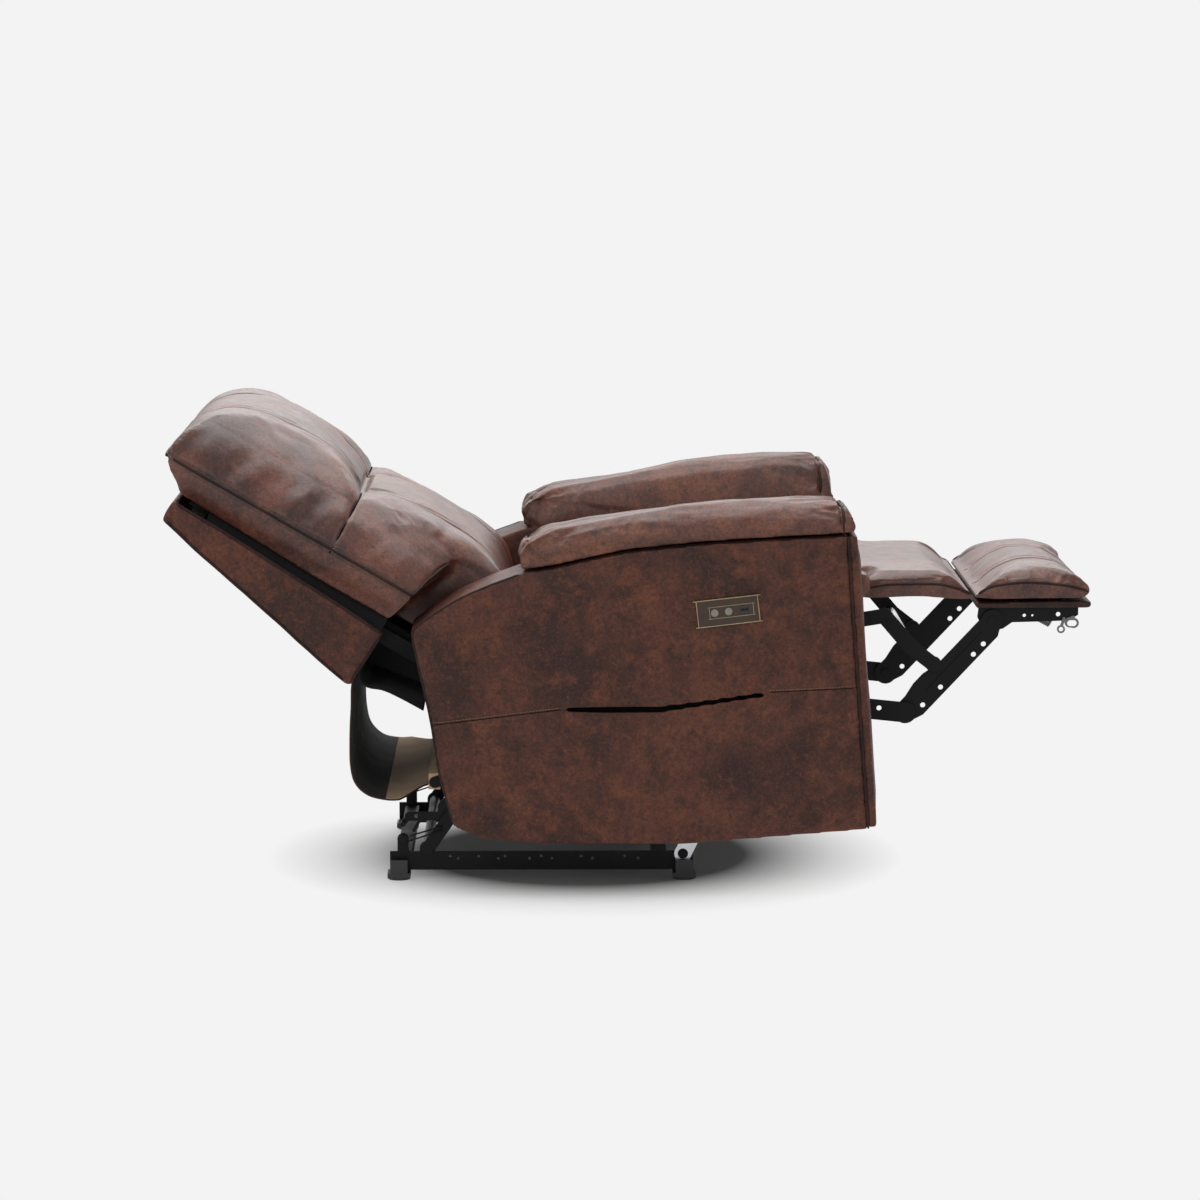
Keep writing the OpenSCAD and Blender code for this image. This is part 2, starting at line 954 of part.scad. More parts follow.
module head_cushion() {
  color(hide)
    on_back()
      intersection() {
        side_view(-wing_y, wing_y)
          polygon([[-388, 36], [-540, 42], [-664, 46], [-676, 60], [-706, 84], [-720, 104],
            [-717, 130], [-709, 158], [-696, 180], [-670, 208], [-650, 218], [-620, 231],
            [-585, 240], [-540, 244], [-499, 243], [-465, 237], [-438, 226], [-412, 212],
            [-392, 198], [-388, 180]]);
        front_view(-730, -380) back_crown(wing_y, 106, 244);
      }
}

lumbar_outline = [[-387, 36], [-387, 180], [-384, 200], [-366, 212], [-338, 216], [-300, 224],
  [-260, 228], [-220, 229], [-164, 221], [-130, 211], [-100, 198], [-75, 172], [-50, 140],
  [-34, 112], [-28, 80], [-34, 56], [-60, 36]];

module lumbar_cushion() {
  color(hide)
    on_back()
      intersection() {
        union() {
          // above the arms, rounded off where it meets the arm pads
          side_view(-wing_y, wing_y)
            polygon([[-387, 36], [-387, 180], [-384, 200], [-366, 210], [-340, 212],
              [-310, 190], [-280, 150], [-250, 128], [-238, 112], [-236, 70], [-240, 36]]);
          // between the arms
          side_view(-narrow_y, narrow_y)
            intersection() {
              polygon(lumbar_outline);
              polygon([[-400, 0], [-60, 0], [-60, 260], [-400, 260]]);
            }
          side_view(-y_link + 3, y_link - 3) polygon(lumbar_outline);
        }
        union() {
          front_view(-400, -237) back_crown(wing_y, 104, 229);
          front_view(-237, 0)
            polygon([[-narrow_y, 20], [narrow_y, 20], [narrow_y, 186], [narrow_y - 16, 206],
              [narrow_y - 60, 222], [narrow_y - 110, 229], [110 - narrow_y, 229],
              [60 - narrow_y, 222], [16 - narrow_y, 206], [-narrow_y, 186]]);
        }
      }
}

// Cloth skirt hanging from the outside back to the rear rail
skirt_path = [[-474, 352], [-478, 300], [-480, 255], [-478, 215], [-470, 185], [-448, 163],
  [-420, 156], [-390, 157], [-348.3, 168]];

module back_skirt() {
  color(hide_dark)
    side_view(-cushion_y, cushion_y)
      for (i = [0 : len(skirt_path) - 2])
        bar(skirt_path[i], skirt_path[i + 1], 1.6);
}

// Cloth closing the gap between the seat and the lower edge of the back
gap_path = [[-108.6, 384], [-140, 377], [-175, 381], [-205, 390]];

module seat_gap_cloth() {
  color(plastic_black)
    side_view(5 - y_link, y_link - 5)
      for (i = [0 : len(gap_path) - 2])
        bar(gap_path[i], gap_path[i + 1], 1.2);
}

base_rail_right();
base_rail_left();
base_cross_tubes();
base_feet();
front_swing_link_right();
front_swing_link_left();
front_swing_tube();
rear_swing_link_right();
rear_swing_link_left();
rear_swing_tube();
rear_return_springs();
side_plate_right();
side_plate_left();
seat_rail_front();
seat_rail_rear();
seat_springs();
seat_cushion();
arm_frame_right();
arm_frame_left();
arm_cover_right();
arm_cover_left();
arm_pad_right();
arm_pad_left();
arm_front_panel_right();
arm_front_panel_left();
rear_cross_rail();
control_plate();
usb_socket();
pocket_bag();
actuator_rail();
motor();
power_inlet();
recline_button();
upright_button();
actuator_block();
drive_tube();
lower_link_right();
lower_link_left();
upper_link_right();
upper_link_left();
footrest_cross_tube();
long_link_right();
long_link_left();
footrest_bracket_right();
footrest_bracket_left();
footrest_board();
footrest_pad();
chaise_bridge_pad();
bracket_springs();
bracket_eyes();
back_bracket_right();
back_bracket_left();
back_upright_right();
back_upright_left();
back_cross_rails();
back_shell();
head_cushion();
lumbar_cushion();
back_skirt();
seat_gap_cloth();
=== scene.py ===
"""Power recliner armchair, fully reclined: the looks around the CAD frame."""
import json
import math

import bpy
import bmesh
import numpy as np
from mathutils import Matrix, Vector
from mathutils.bvhtree import BVHTree


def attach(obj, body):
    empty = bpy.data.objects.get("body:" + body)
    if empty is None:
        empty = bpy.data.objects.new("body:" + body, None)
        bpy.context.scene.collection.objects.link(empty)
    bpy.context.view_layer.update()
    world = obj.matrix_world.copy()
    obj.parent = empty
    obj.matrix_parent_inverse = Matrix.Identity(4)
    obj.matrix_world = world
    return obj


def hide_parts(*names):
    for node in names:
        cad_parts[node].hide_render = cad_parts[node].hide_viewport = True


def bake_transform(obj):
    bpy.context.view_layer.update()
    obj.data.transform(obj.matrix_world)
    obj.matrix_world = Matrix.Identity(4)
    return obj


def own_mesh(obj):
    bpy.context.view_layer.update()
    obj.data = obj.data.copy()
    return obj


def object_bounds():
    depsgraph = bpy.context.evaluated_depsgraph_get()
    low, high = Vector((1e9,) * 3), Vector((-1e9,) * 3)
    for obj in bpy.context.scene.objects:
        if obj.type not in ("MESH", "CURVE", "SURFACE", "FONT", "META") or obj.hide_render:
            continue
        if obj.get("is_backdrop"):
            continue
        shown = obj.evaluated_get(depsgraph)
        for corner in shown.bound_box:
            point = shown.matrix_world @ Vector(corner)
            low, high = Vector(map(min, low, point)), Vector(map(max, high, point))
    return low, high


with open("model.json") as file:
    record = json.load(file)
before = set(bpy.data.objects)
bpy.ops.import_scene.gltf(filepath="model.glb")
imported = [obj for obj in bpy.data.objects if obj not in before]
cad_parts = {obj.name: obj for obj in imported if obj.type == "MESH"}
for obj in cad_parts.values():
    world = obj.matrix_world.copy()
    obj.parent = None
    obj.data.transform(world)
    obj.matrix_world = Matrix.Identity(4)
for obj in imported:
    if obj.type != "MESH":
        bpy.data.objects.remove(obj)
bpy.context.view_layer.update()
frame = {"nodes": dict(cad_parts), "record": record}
scene = bpy.context.scene

# ---------------------------------------------------------------- camera and light

cam_data = bpy.data.cameras.new("camera")
cam_data.lens = 133.35
cam_data.sensor_width = 36
cam = bpy.data.objects.new("camera", cam_data)
cam.location = (-0.1296, -7.8938, 1.5069)
cam.rotation_euler = (math.radians(82.44), 0, math.radians(-0.62))
scene.collection.objects.link(cam)
scene.camera = cam
scene.view_settings.view_transform = "Standard"


def area_light(name, loc, target, size, power, colour=(1, 1, 1)):
    data = bpy.data.lights.new(name, "AREA")
    data.shape = "RECTANGLE"
    data.size, data.size_y = size
    data.energy = power
    data.color = colour
    ob = bpy.data.objects.new(name, data)
    ob.location = loc
    ob.rotation_euler = (Vector(target) - Vector(loc)).to_track_quat("-Z", "Y").to_euler()
    scene.collection.objects.link(ob)
    return ob


area_light("top_softbox", (-0.1, 0.3, 2.9), (0, 0, 0.4), (2.4, 1.8), 62)
area_light("front_fill", (-1.5, -4.2, 2.6), (0, 0, 0.5), (2.2, 1.6), 42)
area_light("rear_softbox", (0.2, 5.2, 3.6), (0, 0, 0.5), (6.0, 2.4), 130)
area_light("side_fill", (3.6, -1.6, 1.7), (0.2, 0, 0.5), (1.4, 1.4), 12)

world = bpy.data.worlds.new("studio")
scene.world = world
world.use_nodes = True
world.node_tree.nodes["Background"].inputs["Color"].default_value = (1.0, 1.0, 1.0, 1)
world.node_tree.nodes["Background"].inputs["Strength"].default_value = 0.55

# ---------------------------------------------------------------- material tools


class Mat:
    """A small builder for one procedural material."""

    def __init__(self, name):
        self.m = bpy.data.materials.new(name)
        self.m.use_nodes = True
        self.t = self.m.node_tree
        self.bsdf = self.t.nodes["Principled BSDF"]
        self.coord = self.t.nodes.new("ShaderNodeTexCoord").outputs["Object"]

    def node(self, kind, links=()):
        n = self.t.nodes.new("ShaderNode" + kind)
        for socket, source in links:
            self.t.links.new(source, n.inputs[socket])
        return n

    def noise(self, scale, detail=4, rough=0.55, distort=0.0, stretch=None):
        source = self.coord
        if stretch:
            mp = self.node("Mapping", [("Vector", source)])
            mp.inputs["Scale"].default_value = stretch
            source = mp.outputs["Vector"]
        n = self.node("TexNoise", [("Vector", source)])
        n.inputs["Scale"].default_value = scale
        n.inputs["Detail"].default_value = detail
        n.inputs["Roughness"].default_value = rough
        n.inputs["Distortion"].default_value = distort
        return n.outputs["Fac"]

    def cells(self, scale, feature="F1"):
        n = self.node("TexVoronoi", [("Vector", self.coord)])
        n.feature = feature
        n.inputs["Scale"].default_value = scale
        return n.outputs["Distance"]

    def ramp(self, fac, stops):
        n = self.node("ValToRGB", [("Fac", fac)])
        r = n.color_ramp
        while len(r.elements) < len(stops):
            r.elements.new(0.5)
        for e, (p, c) in zip(r.elements, stops):
            e.position = p
            e.color = (c, c, c, 1) if isinstance(c, (int, float)) else (*c, 1)
        return n.outputs["Color"]

    def mix(self, fac, a, b, blend="MIX"):
        n = self.node("Mix")
        n.data_type = "RGBA"
        n.blend_type = blend
        for socket, v in ((0, fac), (6, a), (7, b)):
            if isinstance(v, (int, float)):
                n.inputs[socket].default_value = v
            elif isinstance(v, tuple):
                n.inputs[socket].default_value = (*v, 1)
            else:
                self.t.links.new(v, n.inputs[socket])
        return n.outputs[2]

    def math(self, op, a, b=0.0):
        n = self.node("Math")
        n.operation = op
        for socket, v in ((0, a), (1, b)):
            if isinstance(v, (int, float)):
                n.inputs[socket].default_value = v
            else:
                self.t.links.new(v, n.inputs[socket])
        return n.outputs[0]

    def bump(self, layers):
        """layers of (height, strength, distance), coarse first."""
        normal = None
        for height, strength, distance in layers:
            n = self.node("Bump", [("Height", height)])
            n.inputs["Strength"].default_value = strength
            n.inputs["Distance"].default_value = distance
            if normal is not None:
                self.t.links.new(normal, n.inputs["Normal"])
            normal = n.outputs["Normal"]
        self.t.links.new(normal, self.bsdf.inputs["Normal"])

    def set(self, socket, value):
        s = self.bsdf.inputs[socket]
        if isinstance(value, (int, float)):
            s.default_value = value
        elif isinstance(value, tuple):
            s.default_value = (*value, 1)
        else:
            self.t.links.new(value, s)


def leather(name, dark, mid, warm, rough, coat, wear=0.3, blot=1.0, shine=0.42):
    k = Mat(name)
    large = k.noise(6.0, 4, 0.62, 0.2)
    half_warm = tuple((a + b) / 2 for a, b in zip(mid, warm))
    colour = k.ramp(large, [(0.38, dark), (0.52, mid), (0.68, half_warm)])
    cloud = k.noise(21, 6, 0.66, 0.3)
    colour = k.mix(k.ramp(cloud, [(0.50, 0.0), (0.70, 0.70 * blot)]), colour, warm)
    stain = k.noise(33, 8, 0.70, 0.3)
    colour = k.mix(k.ramp(stain, [(0.50, 0.0), (0.68, 0.80)]), colour,
                   (dark[0] * 0.55, dark[1] * 0.75, dark[2] * 0.85))
    crackle = k.noise(150, 9, 0.78, 0.8)
    colour = k.mix(k.ramp(crackle, [(0.44, 0.0), (0.64, 0.70)]), colour,
                   tuple(0.45 * c for c in dark))
    rust = k.ramp(k.noise(175, 7, 0.72, 0.6), [(0.52, 0.0), (0.74, 0.42)])
    colour = k.mix(rust, colour, (warm[0] * 1.55, warm[1] * 1.35, warm[2] * 1.15))
    speck = k.ramp(k.cells(300), [(0.10, 0.70), (0.24, 0.0)])
    colour = k.mix(speck, colour, tuple(0.4 * c for c in dark))
    edge = k.node("NewGeometry").outputs["Pointiness"]
    edge = k.math("MULTIPLY", k.ramp(edge, [(0.51, 0.0), (0.60, wear)]),
                  k.ramp(stain, [(0.35, 1.0), (0.60, 0.2)]))
    colour = k.mix(edge, colour, tuple(1.3 * c for c in warm))
    k.set("Base Color", colour)
    k.set("Roughness", k.ramp(k.noise(21, 7, 0.68, 0.6),
                              [(0.30, rough - 0.09), (0.70, rough + 0.09)]))
    k.set("Specular IOR Level", shine)
    k.set("Coat Weight", coat)
    k.set("Coat Roughness", 0.34)
    grain = k.cells(430, "DISTANCE_TO_EDGE")
    k.bump([(k.noise(30, 5, 0.6, 0.6), 0.30, 0.0028),
            (k.noise(105, 6, 0.68, 1.2), 0.34, 0.0010),
            (k.ramp(grain, [(0.0, 0.0), (0.12, 1.0)]), 0.25, 0.0004),
            (k.noise(900, 3, 0.6), 0.20, 0.0003)])
    return k.m


def metal(name, colour, rough, metallic, scratch=0.5, dust=(0.10, 0.10, 0.10)):
    k = Mat(name)
    blot = k.noise(22, 5, 0.6, 0.4)
    fine = k.noise(160, 4, 0.6, 0.0, (1, 1, 6))
    base = k.mix(k.ramp(blot, [(0.42, 0.0), (0.74, 0.55)]), colour, tuple(1.6 * c for c in colour))
    base = k.mix(k.ramp(fine, [(0.58, 0.0), (0.74, 0.35 * scratch)]), base, dust)
    k.set("Base Color", base)
    k.set("Metallic", metallic)
    k.set("Roughness", k.ramp(blot, [(0.3, rough - 0.09), (0.7, rough + 0.10)]))
    k.bump([(k.noise(520, 4, 0.6), 0.20, 0.0003), (fine, 0.12, 0.0002)])
    return k.m


def wood(name):
    k = Mat(name)
    grain = k.noise(9, 6, 0.6, 1.2, (1, 9, 9))
    fine = k.noise(60, 5, 0.7, 0.4, (1, 8, 8))
    base = k.ramp(grain, [(0.35, (0.38, 0.24, 0.12)), (0.55, (0.56, 0.38, 0.21)),
                          (0.75, (0.66, 0.48, 0.29))])
    base = k.mix(k.ramp(fine, [(0.5, 0.0), (0.75, 0.5)]), base, (0.26, 0.15, 0.08))
    k.set("Base Color", base)
    k.set("Roughness", k.ramp(fine, [(0.3, 0.55), (0.7, 0.75)]))
    k.bump([(grain, 0.25, 0.0006), (fine, 0.3, 0.0004)])
    return k.m


def weave(name, a, b, pitch, rough=0.9, sheen=0.3):
    k = Mat(name)
    waves = []
    for axis in ("X", "Y", "Z"):
        w = k.node("TexWave", [("Vector", k.coord)])
        w.bands_direction = axis
        w.inputs["Scale"].default_value = 0.314 / pitch
        w.inputs["Distortion"].default_value = 1.2
        w.inputs["Detail"].default_value = 2.0
        w.inputs["Detail Scale"].default_value = 3.0
        waves.append(w.outputs["Fac"])
    cloth = k.math("MULTIPLY", waves[1], k.math("MAXIMUM", waves[0], waves[2]))
    tone = k.noise(14, 6, 0.6, 0.5)
    base = k.mix(k.ramp(tone, [(0.35, 0.0), (0.70, 1.0)]), a, b)
    base = k.mix(k.ramp(cloth, [(0.0, 0.45), (0.5, 0.0)]), base, tuple(0.5 * c for c in a))
    k.set("Base Color", base)
    k.set("Roughness", k.ramp(tone, [(0.3, rough - 0.06), (0.7, rough + 0.05)]))
    k.set("Sheen Weight", sheen)
    k.set("Sheen Tint", (0.9, 0.85, 0.8))
    k.bump([(tone, 0.3, 0.002), (cloth, 0.5, 0.0004)])
    return k.m


def plastic(name, colour, rough=0.42):
    k = Mat(name)
    tone = k.noise(35, 5, 0.6, 0.3)
    k.set("Base Color", k.mix(k.ramp(tone, [(0.4, 0.0), (0.8, 0.6)]), colour,
                              tuple(1.8 * c for c in colour)))
    k.set("Roughness", k.ramp(tone, [(0.3, rough - 0.07), (0.7, rough + 0.10)]))
    k.bump([(k.cells(900), 0.18, 0.0002), (tone, 0.08, 0.0008)])
    return k.m


HIDE = leather("brown_hide", (0.032, 0.0118, 0.0088), (0.078, 0.0250, 0.0160),
               (0.150, 0.0500, 0.0235), 0.52, 0.0, shine=0.24)
# the two hides below are lighter copies of brown_hide for the upward-facing pads and cushions: the
# same leather, its extra lightness is painted sheen from the top light
HIDE_PAD_LIT = leather("arm_pad_hide_lit", (0.044, 0.0168, 0.0124), (0.108, 0.0372, 0.0242),
                   (0.195, 0.0700, 0.0350), 0.46, 0.08, shine=0.34)
HIDE_CUSHION_LIT = leather("cushion_hide_lit", (0.042, 0.0156, 0.0118), (0.102, 0.0340, 0.0222),
                       (0.185, 0.0650, 0.0350), 0.38, 0.22, shine=0.34)
HIDE_DARK = leather("dark_hide", (0.016, 0.0062, 0.0048), (0.038, 0.0132, 0.0090),
                    (0.075, 0.0260, 0.0140), 0.54, 0.0, 0.2, shine=0.25)
# welt piping, darker than the brown hide: the piping is real, its extra darkness is painted shade
# for the shadow line along each welt
PIPING_SHADED = leather("piping_hide_shaded", (0.010, 0.0038, 0.0030), (0.020, 0.0074, 0.0052),
                 (0.042, 0.0150, 0.0085), 0.58, 0.0, 0.1, shine=0.22)
BLACK_STEEL = metal("painted_steel", (0.0030, 0.0030, 0.0034), 0.40, 0.0, 0.5,
                    (0.016, 0.016, 0.016))
BLACK_STEEL.node_tree.nodes["Principled BSDF"].inputs["Specular IOR Level"].default_value = 0.16
ZINC = metal("bright_steel", (0.55, 0.56, 0.58), 0.30, 1.0, 0.4, (0.35, 0.36, 0.37))
SPRING = metal("spring_wire", (0.14, 0.14, 0.145), 0.34, 1.0, 0.3, (0.12, 0.12, 0.12))
RIM = metal("rim_metal", (0.30, 0.225, 0.14), 0.36, 1.0, 0.3, (0.24, 0.18, 0.12))
BRONZE = metal("bronze_trim", (0.040, 0.027, 0.018), 0.38, 0.5, 0.3, (0.10, 0.075, 0.055))
BUTTON = metal("button_metal", (0.20, 0.185, 0.16), 0.34, 1.0, 0.2, (0.22, 0.20, 0.18))
TIMBER = wood("frame_timber")
PLASTIC = plastic("black_plastic", (0.012, 0.012, 0.013))
# near-black tubes laid in the seam grooves: painted shadow of the seams
SEAM_SHADE = leather("seam_shadow", (0.004, 0.0018, 0.0015), (0.007, 0.0030, 0.0024),
               (0.014, 0.0055, 0.0040), 0.80, 0.0, 0.0, shine=0.05)
CLOTH = weave("black_cloth", (0.0045, 0.0045, 0.005), (0.009, 0.009, 0.0095), 0.0012, 0.95, 0.03)
# tan raw side of the skirt: a real tan, set lighter to make up for the chair's shade over it, so
# part of its lightness is painted light
TAN = weave("tan_backing", (0.36, 0.23, 0.125), (0.50, 0.34, 0.20), 0.0010, 0.92, 0.15)
THREAD = weave("thread", (0.16, 0.085, 0.055), (0.24, 0.14, 0.09), 0.0006, 0.8, 0.2)

# ---------------------------------------------------------------- mesh tools

TILT = math.radians(3)
BACK_AT = np.array([-0.221, 0.0, 0.310])
BACK_U = np.array([-math.cos(math.radians(30)), 0.0, math.sin(math.radians(30))])
BACK_N = np.array([math.sin(math.radians(30)), 0.0, math.cos(math.radians(30))])


def to_back(co):
    """Row coordinates to (up the back, across, height over the back's line)."""
    d = co - BACK_AT
    return np.stack([d @ BACK_U, d[:, 1], d @ BACK_N], 1)


def from_back(p):
    p = np.atleast_2d(np.asarray(p, float))
    return BACK_AT + np.outer(p[:, 0], BACK_U) + np.outer(p[:, 2], BACK_N) + p[:, 1:2] * [0, 1, 0]


def level(co):
    """Row coordinates to the arm's own level frame (x, y, z)."""
    c, s = math.cos(TILT), math.sin(TILT)
    return np.stack([co[:, 0] * c + co[:, 2] * s, co[:, 1], -co[:, 0] * s + co[:, 2] * c], 1)


def unlevel(p):
    p = np.atleast_2d(np.asarray(p, float))
    c, s = math.cos(TILT), math.sin(TILT)
    return np.stack([p[:, 0] * c - p[:, 2] * s, p[:, 1], p[:, 0] * s + p[:, 2] * c], 1)


def value_noise(p, seed=0.0):
    """Smooth noise in -1..1 at the points p (N, 3), the same on every run."""
    p = np.asarray(p, float) + seed * 17.31
    i = np.floor(p)
    f = p - i
    f = f * f * (3 - 2 * f)
    total = np.zeros(len(p))
    for dx in (0, 1):
        for dy in (0, 1):
            for dz in (0, 1):
                h = np.sin((i[:, 0] + dx) * 127.1 + (i[:, 1] + dy) * 311.7 + (i[:, 2] + dz) * 74.7)
                h = (h * 43758.5453) % 1.0
                w = (f[:, 0] if dx else 1 - f[:, 0]) * (f[:, 1] if dy else 1 - f[:, 1])
                total += h * w * (f[:, 2] if dz else 1 - f[:, 2])
    return total * 2 - 1


def smoothstep(a, b, x):
    t = np.clip((x - a) / (b - a), 0, 1)
    return t * t * (3 - 2 * t)


def bell(x, width):
    return np.exp(-((x / width) ** 2))


def link(name, me, materials):
    ob = bpy.data.objects.new(name, me)
    scene.collection.objects.link(ob)
    ob.data.materials.clear()
    for m in materials:
        ob.data.materials.append(m)
    for p in me.polygons:
        p.use_smooth = True
    return ob


def closed_mesh(name, verts, faces):
    """A mesh from points and faces, with its normals turned outwards."""
    me = bpy.data.meshes.new(name)
    me.from_pydata([tuple(v) for v in verts], [], faces)
    bm = bmesh.new()
    bm.from_mesh(me)
    bmesh.ops.recalc_face_normals(bm, faces=bm.faces)
    bm.to_mesh(me)
    bm.free()
    return me


def coords(ob):
    co = np.zeros(len(ob.data.vertices) * 3, np.float32)
    ob.data.vertices.foreach_get("co", co)
    return co.reshape(-1, 3).astype(float)


def normals(ob):
    no = np.zeros(len(ob.data.vertices) * 3, np.float32)
    ob.data.vertices.foreach_get("normal", no)
    return no.reshape(-1, 3).astype(float)


def put(ob, co):
    ob.data.vertices.foreach_set("co", co.astype(np.float32).ravel())
    ob.data.update()


def bake(ob):
    """Applies every modifier on ob."""
    bpy.context.view_layer.update()
    me = bpy.data.meshes.new_from_object(ob.evaluated_get(bpy.context.evaluated_depsgraph_get()))
    old = ob.data
    ob.modifiers.clear()
    ob.data = me
    bpy.data.meshes.remove(old)
    for p in me.polygons:
        p.use_smooth = True


def from_nodes(name, nodes, material, voxel, relax, factor=0.5, extra=()):
    """A new piece grown from CAD solids: one closed skin of even quads with soft edges."""
    bm = bmesh.new()
    for n in nodes:
        bm.from_mesh(frame["nodes"][n].data)
    for n in extra:
        bm.from_mesh(n)
    bmesh.ops.remove_doubles(bm, verts=bm.verts, dist=1e-5)
    me = bpy.data.meshes.new(name)
    bm.to_mesh(me)
    bm.free()
    ob = link(name, me, [material])
    m = ob.modifiers.new("skin", "REMESH")
    m.mode = "VOXEL"
    m.voxel_size = voxel
    m.use_smooth_shade = True
    if relax:
        s = ob.modifiers.new("relax", "SMOOTH")
        s.iterations = relax
        s.factor = factor
    bake(ob)
    return ob


def subdivide(ob, levels=1):
    m = ob.modifiers.new("fine", "SUBSURF")
    m.levels = levels
    bake(ob)


def inflate(ob, cap, shrink, hold=None, pressure=4.0, bending=0.5):
    """Blows the skin up like a filled cover. hold gives each point's grip, 0 free to 1 fixed."""
    start = coords(ob) - normals(ob) * shrink
    put(ob, start)
    group = ob.vertex_groups.new(name="hold")
    weight = np.zeros(len(start)) if hold is None else np.clip(hold(start), 0, 1)
    for i in np.nonzero(weight > 0.02)[0]:
        group.add([int(i)], float(weight[i]), "REPLACE")
    cloth = ob.modifiers.new("fill", "CLOTH")
    s = cloth.settings
    s.quality = 4
    s.mass = 0.3
    s.use_pressure = True
    s.uniform_pressure_force = pressure
    s.tension_stiffness = 12
    s.compression_stiffness = 8
    s.shear_stiffness = 4
    s.bending_stiffness = bending
    s.vertex_group_mass = "hold"
    s.effector_weights.gravity = 0
    cloth.point_cache.frame_start = 1
    cloth.point_cache.frame_end = 20
    for f in range(1, 21):
        scene.frame_set(f)
    ev = ob.evaluated_get(bpy.context.evaluated_depsgraph_get())
    co = np.zeros(len(start) * 3, np.float32)
    ev.data.vertices.foreach_get("co", co)
    move = co.reshape(-1, 3).astype(float) - start
    length = np.linalg.norm(move, axis=1)
    move *= (np.minimum(length, cap) / np.maximum(length, 1e-9))[:, None]
    ob.modifiers.clear()
    ob.vertex_groups.clear()
    put(ob, start + move)
    scene.frame_set(1)


def resample(points, step, closed=False):
    p = np.asarray(points, float)
    if closed:
        p = np.vstack([p, p[:1]])
    # Catmull-Rom through the points, then even spacing
    q = np.vstack([2 * p[0] - p[1], p, 2 * p[-1] - p[-2]]) if not closed else \
        np.vstack([p[-2], p, p[1]])
    out = []
    for i in range(1, len(q) - 2):
        a, b, c, d = q[i - 1], q[i], q[i + 1], q[i + 2]
        for t in np.linspace(0, 1, 12, endpoint=False):
            out.append(0.5 * (2 * b + (c - a) * t + (2 * a - 5 * b + 4 * c - d) * t * t
                              + (3 * b - a - 3 * c + d) * t ** 3))
    out.append(q[-2])
    out = np.array(out)
    run = np.concatenate([[0], np.cumsum(np.linalg.norm(np.diff(out, axis=0), axis=1))])
    n = max(3, int(run[-1] / step) + 1)
    at = np.linspace(0, run[-1], n)
    even = np.stack([np.interp(at, run, out[:, k]) for k in range(3)], 1)
    return even[:-1] if closed else even


def tube(name, points, radius, material, closed=False, step=0.006, sides=10, taper=True):
    """Round piping along a smooth path, with a slight hand-made unevenness."""
    p = resample(points, step, closed)
    n = len(p)
    t = np.roll(p, -1, 0) - np.roll(p, 1, 0)
    if not closed:
        t[0], t[-1] = p[1] - p[0], p[-1] - p[-2]
    t /= np.linalg.norm(t, axis=1)[:, None]
    up = np.array([0.31, 0.87, 0.39])
    side = np.cross(t, up)
    side /= np.linalg.norm(side, axis=1)[:, None]
    over = np.cross(side, t)
    r = radius * (1 + 0.07 * value_noise(p * 60, 2.0))
    if taper and not closed:
        r[0] *= 0.45
        r[-1] *= 0.45
    verts, faces = [], []
    for k in range(sides):
        a = 2 * math.pi * k / sides
        verts.append(p + (side * math.cos(a) + over * math.sin(a)) * r[:, None])
    verts = np.stack(verts, 1).reshape(-1, 3)
    loops = n if closed else n - 1
    for i in range(loops):
        j = (i + 1) % n
        for k in range(sides):
            m = (k + 1) % sides
            faces.append((i * sides + k, j * sides + k, j * sides + m, i * sides + m))
    if not closed:
        faces.append(tuple(range(sides)))
        faces.append(tuple((n - 1) * sides + k for k in reversed(range(sides))))
    return link(name, closed_mesh(name, verts, faces), [material])


def tree_of(ob):
    dg = bpy.context.evaluated_depsgraph_get()
    return BVHTree.FromObject(ob, dg)


def lay_on(ob, points, lift, step=0.008, closed=False, reach=0.05):
    """Even points along the path, moved onto ob's skin and lifted off it."""
    p = resample(points, step, closed)
    tree = tree_of(ob)
    out = []
    for v in p:
        loc, no, _, dist = tree.find_nearest(Vector(v))
        out.append(np.array(loc + no * lift) if loc is not None and dist < reach else v)
    out = np.array(out)
    # even out the jumps between neighbouring facets
    for _ in range(3):
        inner = (np.roll(out, 1, 0) + out * 2 + np.roll(out, -1, 0)) / 4
        if closed:
            out = inner
        else:
            out[1:-1] = inner[1:-1]
    return out


def drop_on(ob, points, way, lift):
    """The points moved along way until they meet ob's skin, then lifted back off it."""
    tree = tree_of(ob)
    out = []
    for v in np.asarray(points, float):
        loc, _, _, _ = tree.ray_cast(Vector(v), Vector(way))
        if loc is not None:
            out.append(np.array(loc) - np.asarray(way) * lift)
    out = np.array(out)
    for _ in range(2):
        out[1:-1] = (out[:-2] + out[1:-1] * 2 + out[2:]) / 4
    return out


def stitches(name, ob, points, pitch=0.0052, length=0.0042, radius=0.00060, lift=0.0003):
    """A row of thread stitches laid on ob's skin."""
    p = lay_on(ob, points, lift, pitch / 2)
    verts, faces = [], []
    for i in range(0, len(p) - 1, 2):
        a, b = p[i], p[i + 1]
        d = b - a
        n = np.linalg.norm(d)
        if n < 1e-6:
            continue
        d /= n
        side = np.cross(d, [0.3, 0.9, 0.31])
        side /= np.linalg.norm(side)
        over = np.cross(side, d)
        base = len(verts)
        mid = (a + b) / 2
        for along, r in ((-0.5, 0.35), (-0.25, 1.0), (0.25, 1.0), (0.5, 0.35)):
            for k in range(6):
                ang = math.pi * k / 3
                verts.append(mid + d * along * length
                             + (side * math.cos(ang) + over * math.sin(ang)) * radius * r)
        for ring in range(3):
            for k in range(6):
                m = (k + 1) % 6
                s = base + ring * 6
                faces.append((s + k, s + m, s + 6 + m, s + 6 + k))
        faces.append(tuple(base + k for k in reversed(range(6))))
        faces.append(tuple(base + 18 + k for k in range(6)))
    me = bpy.data.meshes.new(name)
    me.from_pydata([tuple(v) for v in verts], [], faces)
    return link(name, me, [THREAD])


